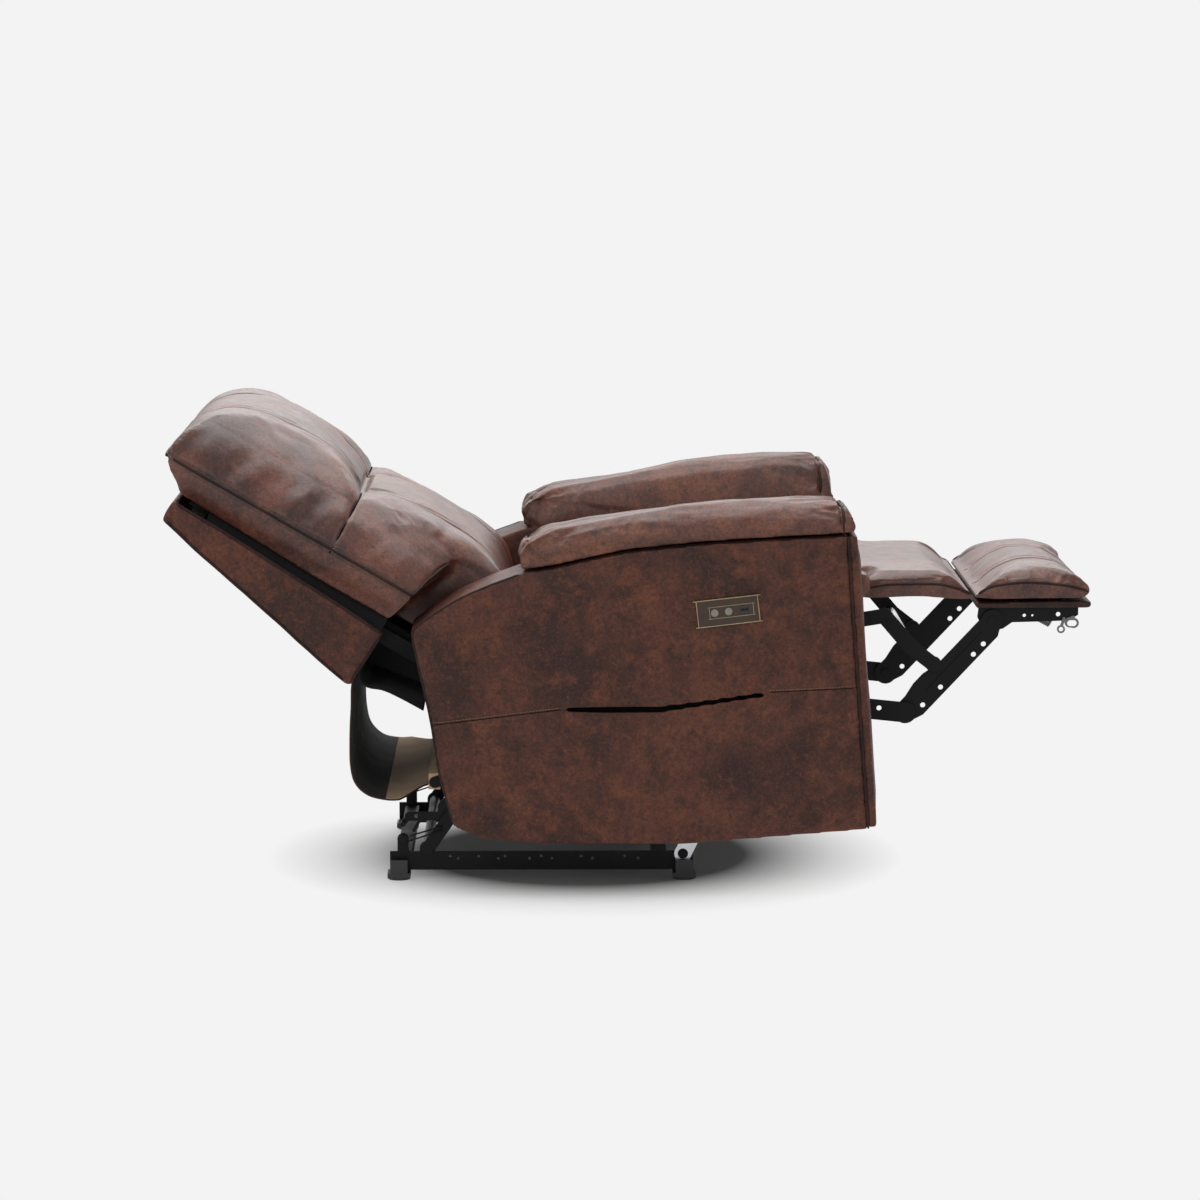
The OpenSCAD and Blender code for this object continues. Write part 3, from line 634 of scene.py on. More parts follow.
def segment_distance(px, pz, path):
    """Distance to a polyline in a plane, and how far along it the nearest point is."""
    best = np.full(len(px), 9.0)
    along = np.zeros(len(px))
    done = 0.0
    for (ax, az), (bx, bz) in zip(path[:-1], path[1:]):
        dx, dz = bx - ax, bz - az
        n = math.hypot(dx, dz)
        t = np.clip(((px - ax) * dx + (pz - az) * dz) / (n * n), 0, 1)
        d = np.hypot(px - ax - t * dx, pz - az - t * dz)
        closer = d < best
        best[closer] = d[closer]
        along[closer] = done + t[closer] * n
        done += n
    return best, along


def piece(ob, body, hides=()):
    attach(ob, body)
    if hides:
        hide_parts(*hides)
    return ob


def trim(body, *args, **more):
    """Piping or a painted seam-shadow line, made by tube, that rides on body."""
    return piece(tube(*args, **more), body)


SIDES = ((-1, "right"), (1, "left"))

# ---------------------------------------------------------------- back cushions

WAIST = 0.3895
SEAM_Y = 0.14


CROWN_Y = [0.0, 0.150, 0.225, 0.285, 0.335, 0.361, 0.375]
CROWN_C = [1.0, 1.0, 0.90, 0.72, 0.47, 0.21, 0.0]
WING_U = [0.222, 0.226, 0.234, 0.246, 0.264, 0.290, 0.320, 0.350, 0.385]
WING_N = [0.176, 0.190, 0.201, 0.210, 0.216, 0.219, 0.217, 0.211, 0.204]


def wing_block(sign):
    """The full lower corner of the cushion beside the arm, as a closed lofted block."""
    ys = np.linspace(0.19, 0.375, 16)
    verts, faces = [], []
    for u, top in zip(WING_U, WING_N):
        c = np.interp(ys, CROWN_Y, CROWN_C)
        step = 0.036 * np.clip((0.375 - ys) / 0.125, 0, 1.1) * (1 - smoothstep(0.225, 0.32, u))
        ring = [(u - e, sign * y, 0.106 + (top - 0.106) * k) for y, k, e in zip(ys, c, step)]
        ring += [(max(u, 0.238), sign * 0.375, 0.045), (max(u, 0.238), sign * 0.19, 0.045)]
        verts += [tuple(v) for v in from_back(ring)]
    m = len(ys) + 2
    for i in range(len(WING_U) - 1):
        for k in range(m):
            j = (k + 1) % m
            faces.append((i * m + k, i * m + j, (i + 1) * m + j, (i + 1) * m + k))
    faces.append(tuple(range(m)))
    faces.append(tuple(reversed(range((len(WING_U) - 1) * m, len(WING_U) * m))))
    return closed_mesh("wing_block", verts, faces)


def back_hold(co):
    p = to_back(co)
    low = 1 - smoothstep(0.085, 0.125, p[:, 2])
    waist = bell(p[:, 0] - WAIST, 0.012)
    seam = bell(np.abs(p[:, 1]) - SEAM_Y, 0.007) * (p[:, 2] > 0.15)
    return np.maximum(np.maximum(low, 0.9 * waist), 0.55 * seam)


def sculpt_back(ob):
    co, no = coords(ob), normals(ob)
    p = to_back(co)
    u, y, h = p.T
    ay = np.abs(y)
    top = np.clip(no @ BACK_N, 0, 1)
    face = smoothstep(0.25, 0.6, top) * smoothstep(0.120, 0.150, h)
    d = np.zeros(len(co))
    # the two long seams, each with fine folds beside it
    bend = 0.006 * np.sin((u - 0.2) * 7.0)
    s = ay - SEAM_Y - bend
    ends = smoothstep(0.07, 0.12, u) * (1 - smoothstep(0.700, 0.715, u))
    d -= 0.0068 * bell(s, 0.0040) * face * ends
    d -= 0.0030 * bell(s, 0.011) * face * ends
    for off, depth, wide in ((-0.013, 0.0024, 0.0040), (-0.027, 0.0018, 0.0050),
                             (0.015, 0.0022, 0.0045), (0.030, 0.0014, 0.0055)):
        fade = 0.55 + 0.45 * value_noise(np.stack([u * 14, y * 3, np.full(len(u), off * 90)], 1), 3)
        spread = off * (1 + 0.9 * np.abs(u - WAIST) * 3.0)
        d -= depth * bell(s - spread, wide) * face * ends * fade
    # fullness of the panels between the seams
    panel = np.where(ay < SEAM_Y, np.cos(np.clip(ay / SEAM_Y, 0, 1) * math.pi / 2) ** 0.6,
                     np.sin(np.clip((ay - SEAM_Y) / 0.16, 0, 1) * math.pi) ** 0.7)
    d += 0.0035 * panel * face
    # waist: a deep fold in the middle panel, a plain seam outside it
    w = u - WAIST
    middle = 1 - smoothstep(SEAM_Y - 0.004, SEAM_Y + 0.006, ay)
    outside = 0.0036 * bell(w, 0.0032) + 0.0020 * bell(w, 0.010)
    d -= (0.0105 * bell(w, 0.0075) * middle + outside * (1 - middle)) * smoothstep(0.1, 0.13, h)
    # gathers that run out of the waist and out of the side welts
    g = value_noise(np.stack([y * 62, u * 3.0, y * 0], 1), 5)
    reach = 0.0034 * bell(w, 0.055) * smoothstep(0.0, 0.02, np.abs(w)) * face
    near_seam = bell(ay - SEAM_Y, 0.05)
    d += reach * g * (0.35 + 1.5 * near_seam)
    e = value_noise(np.stack([u * 34 + h * 10, y * 2.0, h * 5], 1), 7)
    side = smoothstep(0.30, 0.345, ay) * smoothstep(0.105, 0.13, h)
    d += 0.0040 * e * side * (1 - smoothstep(0.19, 0.215, h))
    # slack of the hide over the filling
    q = np.stack([u * 9, y * 12, h * 9], 1)
    slack = 0.0030 * value_noise(q, 9) + 0.0014 * value_noise(q * 2.7, 11)
    d += slack * smoothstep(0.10, 0.14, h)
    # boxing below the welt: a little hollow between its seams
    box = bell(h - 0.078, 0.022) * smoothstep(0.0, 0.4, 1 - top) * (np.abs(no @ BACK_U) < 0.9)
    d -= 0.0030 * box
    d -= 0.0030 * bell(np.abs(h - 0.1050) - 0.0045, 0.0030) * (ay > 0.33)
    co += no * d[:, None]
    tuck = (1 - smoothstep(0.046, 0.088, h)) * smoothstep(0.30, 0.36, ay)
    tuck *= smoothstep(0.22, 0.26, u)
    co[:, 1] -= np.sign(y) * 0.017 * tuck
    co += np.outer(0.004 * tuck, BACK_N)
    put(ob, co)


back = from_nodes("back_cushion_blank", ["head_cushion", "lumbar_cushion"], HIDE_CUSHION_LIT,
                  0.006, 14, 0.5, [wing_block(-1), wing_block(1)])
inflate(back, 0.022, 0.006, back_hold, 4.0, 0.35)
subdivide(back)
sculpt_back(back)


def part_of(ob, name, planes):
    """A closed copy of ob kept on the inner side of each (point, normal) plane."""
    me = ob.data.copy()
    bm = bmesh.new()
    bm.from_mesh(me)
    for at, away in planes:
        cut = bmesh.ops.bisect_plane(bm, geom=bm.verts[:] + bm.edges[:] + bm.faces[:],
                                     plane_co=at, plane_no=away, clear_outer=True)
        edges = [e for e in cut["geom_cut"] if isinstance(e, bmesh.types.BMEdge)]
        bmesh.ops.holes_fill(bm, edges=edges)
        for e in edges:
            if e.is_valid:
                e.smooth = False
    bm.to_mesh(me)
    bm.free()
    return link(name, me, [HIDE_CUSHION_LIT])


waist_at = from_back([[WAIST, 0, 0]])[0]
head = part_of(back, "head_cushion_cover", [(waist_at, -BACK_U)])
lumbar = part_of(back, "lumbar_cushion_cover", [(waist_at, BACK_U), ((0, -0.25, 0), (0, -1, 0)),
                                                ((0, 0.25, 0), (0, 1, 0))])
piece(head, "back", ["head_cushion"])
piece(lumbar, "back", ["lumbar_cushion"])
for sign, tag in SIDES:
    wing = part_of(back, "lumbar_wing_cover_" + tag, [(waist_at, BACK_U),
                                                      ((0, sign * 0.25, 0), (0, -sign, 0))])
    piece(wing, "back")
    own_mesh(wing)

for sign, tag in SIDES:
    y = sign * 0.377
    path = from_back([[WAIST, y, 0.1052], [0.45, y, 0.1056], [0.54, y, 0.1062],
                      [0.62, y, 0.1065], [0.700, y, 0.1060]])
    trim("back", "back_welt_" + tag, lay_on(back, path, 0.0008), 0.0030, PIPING_SHADED)
    path = from_back([[0.188, sign * 0.256, 0.171], [0.198, sign * 0.295, 0.158],
                      [0.209, sign * 0.335, 0.141], [0.217, sign * 0.361, 0.121],
                      [0.226, y, 0.1055], [0.31, y, 0.1048], [WAIST, y, 0.1052]])
    wing_welt = tube("wing_welt_" + tag, lay_on(back, path, 0.0008), 0.0030, PIPING_SHADED)
    piece(wing_welt, "back")
    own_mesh(wing_welt)
top_path = from_back([[0.716, -0.372, 0.1065], [0.721, -0.25, 0.1075], [0.722, 0.0, 0.1080],
                      [0.721, 0.25, 0.1075], [0.716, 0.372, 0.1065]])
trim("back", "back_welt_top", lay_on(back, top_path, 0.0008), 0.0030, PIPING_SHADED)
# dark tubes in the long seams and the waist seams: painted shadow of the seam grooves
for sign, tag in SIDES:
    us = np.linspace(0.085, 0.700, 40)
    line = from_back([[u, sign * (SEAM_Y + 0.006 * math.sin((u - 0.2) * 7.0)), 0.30] for u in us])
    line = drop_on(back, line, -BACK_N, 0.0002)
    cutoff = to_back(line)[:, 0]
    trim("back", "head_seam_shade_" + tag, line[cutoff > WAIST + 0.004], 0.0017, SEAM_SHADE)
    trim("back", "lumbar_seam_shade_" + tag, line[cutoff < WAIST - 0.004], 0.0017, SEAM_SHADE)
    ys = np.linspace(0.150, 0.366, 22)
    line = from_back([[WAIST, sign * y, 0.30] for y in ys])
    trim("back", "waist_seam_shade_" + tag, drop_on(back, line, -BACK_N, 0.0002), 0.0016, SEAM_SHADE)
bpy.data.objects.remove(back)

# ---------------------------------------------------------------- outside back

shell = from_nodes("outside_back_cover", ["back_shell"], HIDE, 0.005, 3)
co, no = coords(shell), normals(shell)
p = to_back(co)
out = (np.abs(no[:, 1]) > 0.7) & (np.abs(p[:, 1]) > 0.366)
puff = smoothstep(0.24, 0.34, p[:, 0]) * (1 - smoothstep(0.58, 0.66, p[:, 0]))
wave = value_noise(np.stack([p[:, 0] * 11, p[:, 1] * 4, p[:, 2] * 14], 1), 21)
d = np.where(out, 0.0030 * puff + 0.0014 * wave, 0.0)
under = (no @ BACK_N < -0.4) & (np.abs(p[:, 1]) < 0.37)
d += np.where(under, 0.0050 * np.cos(np.clip(p[:, 1] / 0.37, -1, 1) * math.pi / 2)
              + 0.0025 * wave, 0.0)
co += no * d[:, None]
put(shell, co)
subdivide(shell)
piece(shell, "back", ["back_shell"])
for sign, tag in SIDES:
    y = sign * 0.3735
    edge = from_back([[0.243, y, 0.022], [0.300, y, 0.027], [0.411, y, 0.033], [0.54, y, 0.039],
                      [0.655, y, 0.043]])
    trim("back", "shell_welt_" + tag, lay_on(shell, edge, 0.0008), 0.0028, PIPING_SHADED)
    lower = from_back([[0.2425, y, 0.018], [0.2445, y, -0.030], [0.2475, y, -0.076]])
    trim("back", "shell_end_welt_" + tag, lay_on(shell, lower, 0.0008), 0.0026, PIPING_SHADED)
    rear = from_back([[0.262, y, -0.081], [0.40, y, -0.050], [0.55, y, -0.018],
                      [0.655, y, 0.006]])
    trim("back", "shell_rear_welt_" + tag, lay_on(shell, rear, 0.0008), 0.0026, PIPING_SHADED)

# ---------------------------------------------------------------- arms

CROSS_SEAM = [(-0.335, 0.3125), (-0.319, 0.314), (-0.091, 0.3295), (-0.031, 0.3245),
              (0.071, 0.3205), (0.165, 0.3290), (0.260, 0.340), (0.410, 0.339), (0.425, 0.3385)]
SLIT = [(-0.090, 0.3295), (-0.030, 0.3245), (0.070, 0.3210), (0.160, 0.3285), (0.250, 0.3375)]


def sculpt_arm(ob, sign, slit):
    co, no = coords(ob), normals(ob)
    p = level(co)
    x, _, z = p.T
    outer = smoothstep(0.5, 0.9, no[:, 1] * sign) * (np.abs(p[:, 1]) > 0.392)
    inner = smoothstep(0.5, 0.9, -no[:, 1] * sign) * (np.abs(p[:, 1]) < 0.262)
    dist, _ = segment_distance(x, z, CROSS_SEAM)
    low_edge = smoothstep(0.090, 0.150, z)
    high = 0.600 - 0.30 * np.clip(-x - 0.10, 0, 1) ** 1.25
    high_edge = 1 - smoothstep(high - 0.08, high - 0.005, z)
    ends = smoothstep(-0.33, -0.27, x) * (1 - smoothstep(0.365, 0.408, x))
    belly = low_edge * high_edge * ends
    d = 0.0052 * belly * (1 - 0.55 * bell(dist, 0.05))
    wave = value_noise(np.stack([x * 7, z * 9, p[:, 1] * 3], 1), 31 + sign)
    fine = value_noise(np.stack([x * 21, z * 26, p[:, 1] * 3], 1), 33 + sign)
    d += (0.0016 * wave + 0.0006 * fine) * belly
    d -= 0.0020 * bell(dist, 0.0030)
    # short puckers off the seam
    _, run = segment_distance(x, z, CROSS_SEAM)
    pucker = value_noise(np.stack([run * 85, z * 0, z * 0 + 2], 1), 35 + sign)
    d += 0.0007 * pucker * bell(dist, 0.014) * smoothstep(0.002, 0.006, dist)
    plate = (1 - smoothstep(0.056, 0.100, np.abs(x - 0.195))) * \
        (1 - smoothstep(0.024, 0.060, np.abs(z - 0.483)))
    if slit:
        d = d * (1 - plate) - 0.0008 * plate
    d *= outer
    d += 0.0030 * inner * belly
    if slit:
        ds, _ = segment_distance(x, z, SLIT)
        pull = bell(ds, 0.020) * outer
        line = np.interp(x, [q[0] for q in SLIT], [q[1] for q in SLIT])
        above = np.where(z > line, 1.0, -1.0)
        inside = (x > -0.100) & (x < 0.260) & (ds < 0.05)
        close = 0.0052 - 0.0019 * smoothstep(-0.088, -0.02, x) * (1 - smoothstep(0.02, 0.20, x))
        shift = np.where(inside, -above * close * pull, 0.0)
        up = unlevel([[0, 0, 1]])[0]
        co += shift[:, None] * up
        d += np.where(inside & (above > 0), 0.0016 * bell(ds - 0.006, 0.008), 0.0) * outer
    co += no * d[:, None]
    put(ob, co)


for sign, tag in SIDES:
    cover = from_nodes("arm_skin_" + tag, ["arm_cover_" + tag], HIDE, 0.004, 4)
    sculpt_arm(cover, sign, sign < 0)
    subdivide(cover)
    y = sign * 0.4005
    # welts on the front edge and rear edge; the top edge under the pad gets a painted shadow line
    # further on
    front = unlevel([[0.4168, y, 0.095], [0.4135, y, 0.215], [0.4105, y, 0.339],
                     [0.4075, y, 0.470], [0.4055, y, 0.600]])
    trim("seat_carriage", "arm_front_welt_" + tag, front, 0.0030, PIPING_SHADED)
    rear = unlevel([[-0.292, y, 0.137], [-0.313, y, 0.230], [-0.323, y, 0.325],
                    [-0.3475, y, 0.477], [-0.310, y, 0.503], [-0.2565, y, 0.532],
                    [-0.200, y, 0.553], [-0.158, y, 0.566]])
    trim("seat_carriage", "arm_rear_welt_" + tag, lay_on(cover, rear, 0.0000), 0.0022, PIPING_SHADED)
    # dark tubes along the cross seam: painted shadow of the seam groove
    seam = unlevel([[a, y, b] for a, b in CROSS_SEAM[1:3]])
    trim("seat_carriage", "seam_shade_a_" + tag, lay_on(cover, seam, -0.0004), 0.0009, SEAM_SHADE)
    seam = unlevel([[a, y, b] for a, b in (CROSS_SEAM[6:8] if sign < 0 else CROSS_SEAM[2:8])])
    trim("seat_carriage", "seam_shade_b_" + tag, lay_on(cover, seam, -0.0004), 0.0009, SEAM_SHADE)
    # one row of thread above the seam, broken by the pocket slit on the right arm
    rows = {"0a": (1, 3), "0b": (6, 8)} if sign < 0 else {"0": (1, -1)}
    for part, (first, last) in rows.items():
        row = unlevel([[a, y, b + 0.0036] for a, b in CROSS_SEAM[first:last]])
        piece(stitches(f"seam_thread_{tag}_{part}", cover, row), "seat_carriage")
    piece(cover, "seat_carriage", ["arm_cover_" + tag])

    # front panel
    panel = from_nodes("arm_front_skin_" + tag, ["arm_front_panel_" + tag], HIDE, 0.004, 3)
    co, no = coords(panel), normals(panel)
    p = level(co)
    ahead = smoothstep(0.5, 0.9, no[:, 0])
    across = np.clip(1 - ((np.abs(p[:, 1]) - 0.3275) / 0.0725) ** 2, 0, 1)
    tall = smoothstep(0.095, 0.16, p[:, 2]) * (1 - smoothstep(0.55, 0.60, p[:, 2]))
    wave = value_noise(np.stack([p[:, 1] * 14, p[:, 2] * 9, p[:, 0] * 3], 1), 41 + sign)
    co += no * (ahead * across * tall * (0.006 + 0.0020 * wave))[:, None]
    put(panel, co)
    subdivide(panel)
    piece(panel, "seat_carriage", ["arm_front_panel_" + tag])
    inner_front = unlevel([[0.4168, sign * 0.2545, 0.095], [0.4105, sign * 0.2545, 0.339],
                           [0.4055, sign * 0.2545, 0.600]])
    trim("seat_carriage", "arm_inner_welt_" + tag, inner_front, 0.0030, PIPING_SHADED)

    # soft pad on the arm
    pad = from_nodes("arm_pad_skin_" + tag, ["arm_pad_" + tag], HIDE_PAD_LIT, 0.005, 8)

    def pad_hold(c):
        q = level(c)
        base = np.interp(q[:, 0], [-0.156, -0.102, 0.029, 0.160, 0.405],
                         [0.570, 0.574, 0.595, 0.601, 0.603])
        return 1 - smoothstep(0.006, 0.022, q[:, 2] - base)

    inflate(pad, 0.009, 0.004, pad_hold, 3.5, 0.35)
    subdivide(pad)
    co, no = coords(pad), normals(pad)
    p = level(co)
    x, ay, z = p[:, 0], np.abs(p[:, 1]), p[:, 2]
    base = np.interp(x, [-0.156, -0.102, 0.029, 0.160, 0.405], [0.570, 0.574, 0.595, 0.601, 0.603])
    free = smoothstep(0.004, 0.020, z - base)
    angle = np.arctan2(z - 0.615, ay - 0.3275)
    d = np.zeros(len(co))
    if sign > 0:
        co[:, 2] += 0.012 * smoothstep(-0.02, 0.34, x) * free
    # end cap seam, with gathers behind it
    cap = x - 0.396
    d -= 0.0048 * bell(cap, 0.0034) * free
    d -= 0.0016 * smoothstep(0.0, 0.02, cap) * free
    fold = value_noise(np.stack([angle * 9.5, x * 4, x * 0], 1), 43 + sign)
    d += 0.0036 * fold * bell(np.minimum(cap, 0), 0.036) * smoothstep(0.001, 0.010, -cap) * free
    # pleats at the rear end
    slant = (x + (z - 0.57) * 0.9) * 42
    rear_fold = value_noise(np.stack([slant, angle * 1.1, x * 0], 1), 45 + sign)
    d += 0.0042 * rear_fold * (1 - smoothstep(-0.150, -0.085, x)) * free
    corner = np.abs((x + 0.150) - (0.622 - z) * 0.95)
    d -= 0.0036 * bell(corner, 0.004) * (x < -0.105) * free * (no[:, 1] * sign > 0.1)
    # slack
    q = np.stack([x * 8, angle * 1.6, x * 0], 1)
    d += (0.0022 * value_noise(q, 47 + sign) + 0.0010 * value_noise(q * 3.1, 49 + sign)) * free
    co += no * d[:, None]
    # the roll hangs lower on the sitter's side of the arm
    lap = (1 - smoothstep(0.264, 0.300, ay)) * smoothstep(-0.150, -0.110, x)
    co[:, 2] -= 0.036 * lap * (1 - smoothstep(0.000, 0.045, z - base))
    co[:, 1] -= sign * 0.0065 * lap * (1 - smoothstep(0.010, 0.040, z - base))
    put(pad, co)
    piece(pad, "seat_carriage", ["arm_pad_" + tag])
    # a thin dark tube where the pad meets the cover: painted shadow of the gap
    yo = sign * 0.4015
    top = unlevel([[-0.150, yo, 0.5700], [-0.102, yo, 0.5735], [0.029, yo, 0.5945],
                   [0.160, yo, 0.6010], [0.290, yo, 0.6020], [0.404, yo, 0.6020]])
    trim("seat_carriage", "arm_pad_gap_shade_" + tag, top, 0.0010, SEAM_SHADE)
    ring = [[0.3985, sign * (0.3275 + 0.071 * math.cos(a)),
             0.604 + 0.052 * max(0, math.sin(a)) ** 0.55] for a in np.linspace(0.0, math.pi, 15)]
    trim("seat_carriage", "arm_cap_welt_" + tag, lay_on(pad, unlevel(ring), 0.0002), 0.0028, PIPING_SHADED)

plate_at = np.array([0.195, -0.4022, 0.483])
tip = math.radians(3.5)


def on_plate(pairs, y):
    c, s = math.cos(tip), math.sin(tip)
    return unlevel([[plate_at[0] + a * c - b * s, y, plate_at[2] + a * s + b * c]
                    for a, b in pairs])


def rounded(w, h, r, n=5):
    out = []
    for cx, cy, start in ((w - r, h - r, 0), (r - w, h - r, 90),
                          (r - w, r - h, 180), (w - r, r - h, 270)):
        for a in np.linspace(start, start + 90, n):
            out.append((cx + r * math.cos(math.radians(a)), cy + r * math.sin(math.radians(a))))
    return out


piece(tube("control_rim", on_plate(rounded(0.0525, 0.0225, 0.002), -0.4020), 0.0011, RIM,
           closed=True, step=0.002), "seat_carriage")
strip = [(a + 0.006, b) for a, b in rounded(0.0375, 0.0098, 0.0015)]
piece(tube("control_strip_rim", on_plate(strip, -0.4022), 0.0006, RIM, closed=True, step=0.002),
      "seat_carriage")

# ---------------------------------------------------------------- seat

seat = from_nodes("seat_cushion_cover", ["seat_cushion"], HIDE_CUSHION_LIT, 0.006, 8)
subdivide(seat)
co, no = coords(seat), normals(seat)
x, y, z = co.T
ay = np.abs(y)
top = smoothstep(0.45, 0.85, no[:, 2]) * smoothstep(0.485, 0.505, z)
ends = smoothstep(-0.05, 0.0, x)
d = -0.0058 * bell(ay - SEAM_Y, 0.0042) * top * ends
for off in (-0.014, 0.015):
    d -= 0.0018 * bell(ay - SEAM_Y - off, 0.0042) * top * ends
fold = value_noise(np.stack([x * 26, y * 5, z * 2], 1), 61)
d += 0.0020 * fold * bell(ay - SEAM_Y, 0.05) * top * ends
d += 0.0040 * top * np.where(ay < SEAM_Y, np.cos(ay / SEAM_Y * math.pi / 2), 0.6) * ends
d += 0.0030 * value_noise(np.stack([x * 8, y * 9, z * 3], 1), 63) * top
co += no * d[:, None]
put(seat, co)
piece(seat, "seat_carriage", ["seat_cushion"])

# ---------------------------------------------------------------- footrest

REST_SEAMS = (-0.105, 0.075)
JOIN_X, JOIN_Z = 0.604, 0.4985


def sculpt_rest(ob, x0, x1, seed, seams):
    co, no = coords(ob), normals(ob)
    x, y, z = co.T
    ay = np.abs(y)
    top = smoothstep(0.25, 0.7, no[:, 2]) * smoothstep(0.505, 0.520, z)
    side = smoothstep(0.4, 0.8, np.abs(no[:, 1])) * (ay > 0.235)
    mid = smoothstep(x0, x0 + 0.03, x) * (1 - smoothstep(x1 - 0.03, x1, x))
    d = np.zeros(len(co))
    for at in seams:
        s = y - at
        d -= (0.0055 * bell(s, 0.0040) + 0.0022 * bell(s, 0.011)) * top
        for off in (-0.013, 0.015):
            d -= 0.0014 * bell(s - off, 0.0045) * top
    full = np.ones(len(co))
    if seams:
        gap = np.minimum(np.abs(y - seams[0]), np.abs(y - seams[1]))
        full = np.sin(np.clip(gap / 0.09, 0, 1) * math.pi / 2)
    d += 0.0034 * top * mid * full
    ends = np.maximum(bell(x - x0, 0.035), bell(x - x1, 0.030))
    fold = value_noise(np.stack([y * 58, x * 5, z * 0], 1), seed)
    d += 0.0024 * fold * ends * top
    slack = (0.0026 * value_noise(np.stack([x * 11, y * 10, z * 4], 1), seed + 2)
             + 0.0010 * value_noise(np.stack([x * 30, y * 26, z * 9], 1), seed + 4))
    d += slack * (top + 0.5 * side)
    d += 0.0018 * side * value_noise(np.stack([x * 44, z * 5, y * 0], 1), seed + 6)
    co += no * d[:, None]
    # both pads are sewn together in one pinched seam
    pinch = 1 - 0.62 * bell(x - JOIN_X, 0.026) - 0.10 * bell(x - JOIN_X, 0.06)
    pinch = np.where(co[:, 2] > JOIN_Z, pinch, 0.35 + 0.65 * pinch)
    co[:, 2] = JOIN_Z + (co[:, 2] - JOIN_Z) * pinch
    co[:, 0] += (JOIN_X - x) * 0.55 * bell(x - JOIN_X, 0.010)
    # the side faces sag between their ends
    if not seams:
        sag = np.sin(np.clip((x - 0.42) / 0.18, 0, 1) * math.pi)
        co[:, 2] += 0.007 * sag * (1 - smoothstep(0.488, 0.500, z))
    put(ob, co)


def rest_hold(c):
    return 1 - smoothstep(0.490, 0.512, c[:, 2])


rest = from_nodes("footrest_pad_cover", ["footrest_pad"], HIDE_CUSHION_LIT, 0.005, 8)
inflate(rest, 0.010, 0.004, rest_hold, 4.0, 0.35)
subdivide(rest)
sculpt_rest(rest, 0.606, 0.805, 71, REST_SEAMS)
piece(rest, "footrest", ["footrest_pad"])


def bridge_block():
    """The bridge pad's rear end, tucked under the front of the seat, as a closed lofted block."""
    verts, faces = [], []
    ys = np.linspace(-0.2475, 0.2475, 25)
    for x, lo, hi in ((0.345, 0.497, 0.527), (0.365, 0.494, 0.534), (0.385, 0.492, 0.539),
                      (0.405, 0.491, 0.5405), (0.430, 0.490, 0.5405)):
        edge = np.clip((np.abs(ys) - 0.19) / 0.0575, 0, 1)
        ring = [(x, y, hi - (hi - 0.522) * e ** 2.2) for y, e in zip(ys, edge)]
        ring += [(x, 0.2475, lo), (x, -0.2475, lo)]
        verts += ring
    m = len(ys) + 2
    for i in range(4):
        for k in range(m):
            j = (k + 1) % m
            faces.append((i * m + k, i * m + j, (i + 1) * m + j, (i + 1) * m + k))
    faces.append(tuple(range(m)))
    faces.append(tuple(reversed(range(4 * m, 5 * m))))
    return closed_mesh("bridge_block", verts, faces)


bridge = from_nodes("chaise_bridge_cover", ["chaise_bridge_pad"], HIDE_CUSHION_LIT, 0.005, 8, 0.5,
                    [bridge_block()])
inflate(bridge, 0.008, 0.004, rest_hold, 4.0, 0.35)
subdivide(bridge)
sculpt_rest(bridge, 0.340, 0.602, 81, ())
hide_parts("chaise_bridge_pad")
welts = []
for sign, tag in SIDES:
    a = [[0.350, sign * 0.249, 0.512], [0.385, sign * 0.249, 0.5165], [0.420, sign * 0.249, 0.519],
         [0.46, sign * 0.249, 0.522], [0.52, sign * 0.249, 0.522], [0.57, sign * 0.249, 0.514],
         [0.600, sign * 0.249, 0.5015]]
    w = tube("bridge_welt_" + tag, lay_on(bridge, a, 0.0002), 0.0024, PIPING_SHADED)
    welts.append(w)
for ob in [bridge] + welts:
    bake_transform(ob)

board = from_nodes("footrest_board_cover", ["footrest_board"], HIDE_DARK, 0.003, 3)
piece(board, "footrest", ["footrest_board"])

for sign, tag in SIDES:
    y = sign * 0.2485
    b = [[0.608, y, 0.5025], [0.632, y, 0.514], [0.68, y, 0.522], [0.74, y, 0.521],
         [0.785, y, 0.513], [0.806, y, 0.504]]
    trim("footrest", "footrest_welt_" + tag, lay_on(rest, b, 0.0002), 0.0024, PIPING_SHADED)
# dark tubes in the footrest's two seams and in the join: painted shadow of the seam grooves
for k, at in enumerate(REST_SEAMS):
    line = [[x, at, 0.60] for x in np.linspace(0.612, 0.800, 26)]
    line = drop_on(rest, line, (0, 0, -1), -0.0003)
    trim("footrest", f"footrest_seam_shade_{k}", line, 0.0011, SEAM_SHADE)
edge = coords(bridge)[:, 0].max() - 0.0022
line = [[edge, y, 0.60] for y in np.linspace(-0.24, 0.24, 60)]
line = drop_on(bridge, line, (0, 0, -1), -0.0006)
trim("footrest", "footrest_join_shade", line, 0.0014, SEAM_SHADE)

# ---------------------------------------------------------------- loose cloth


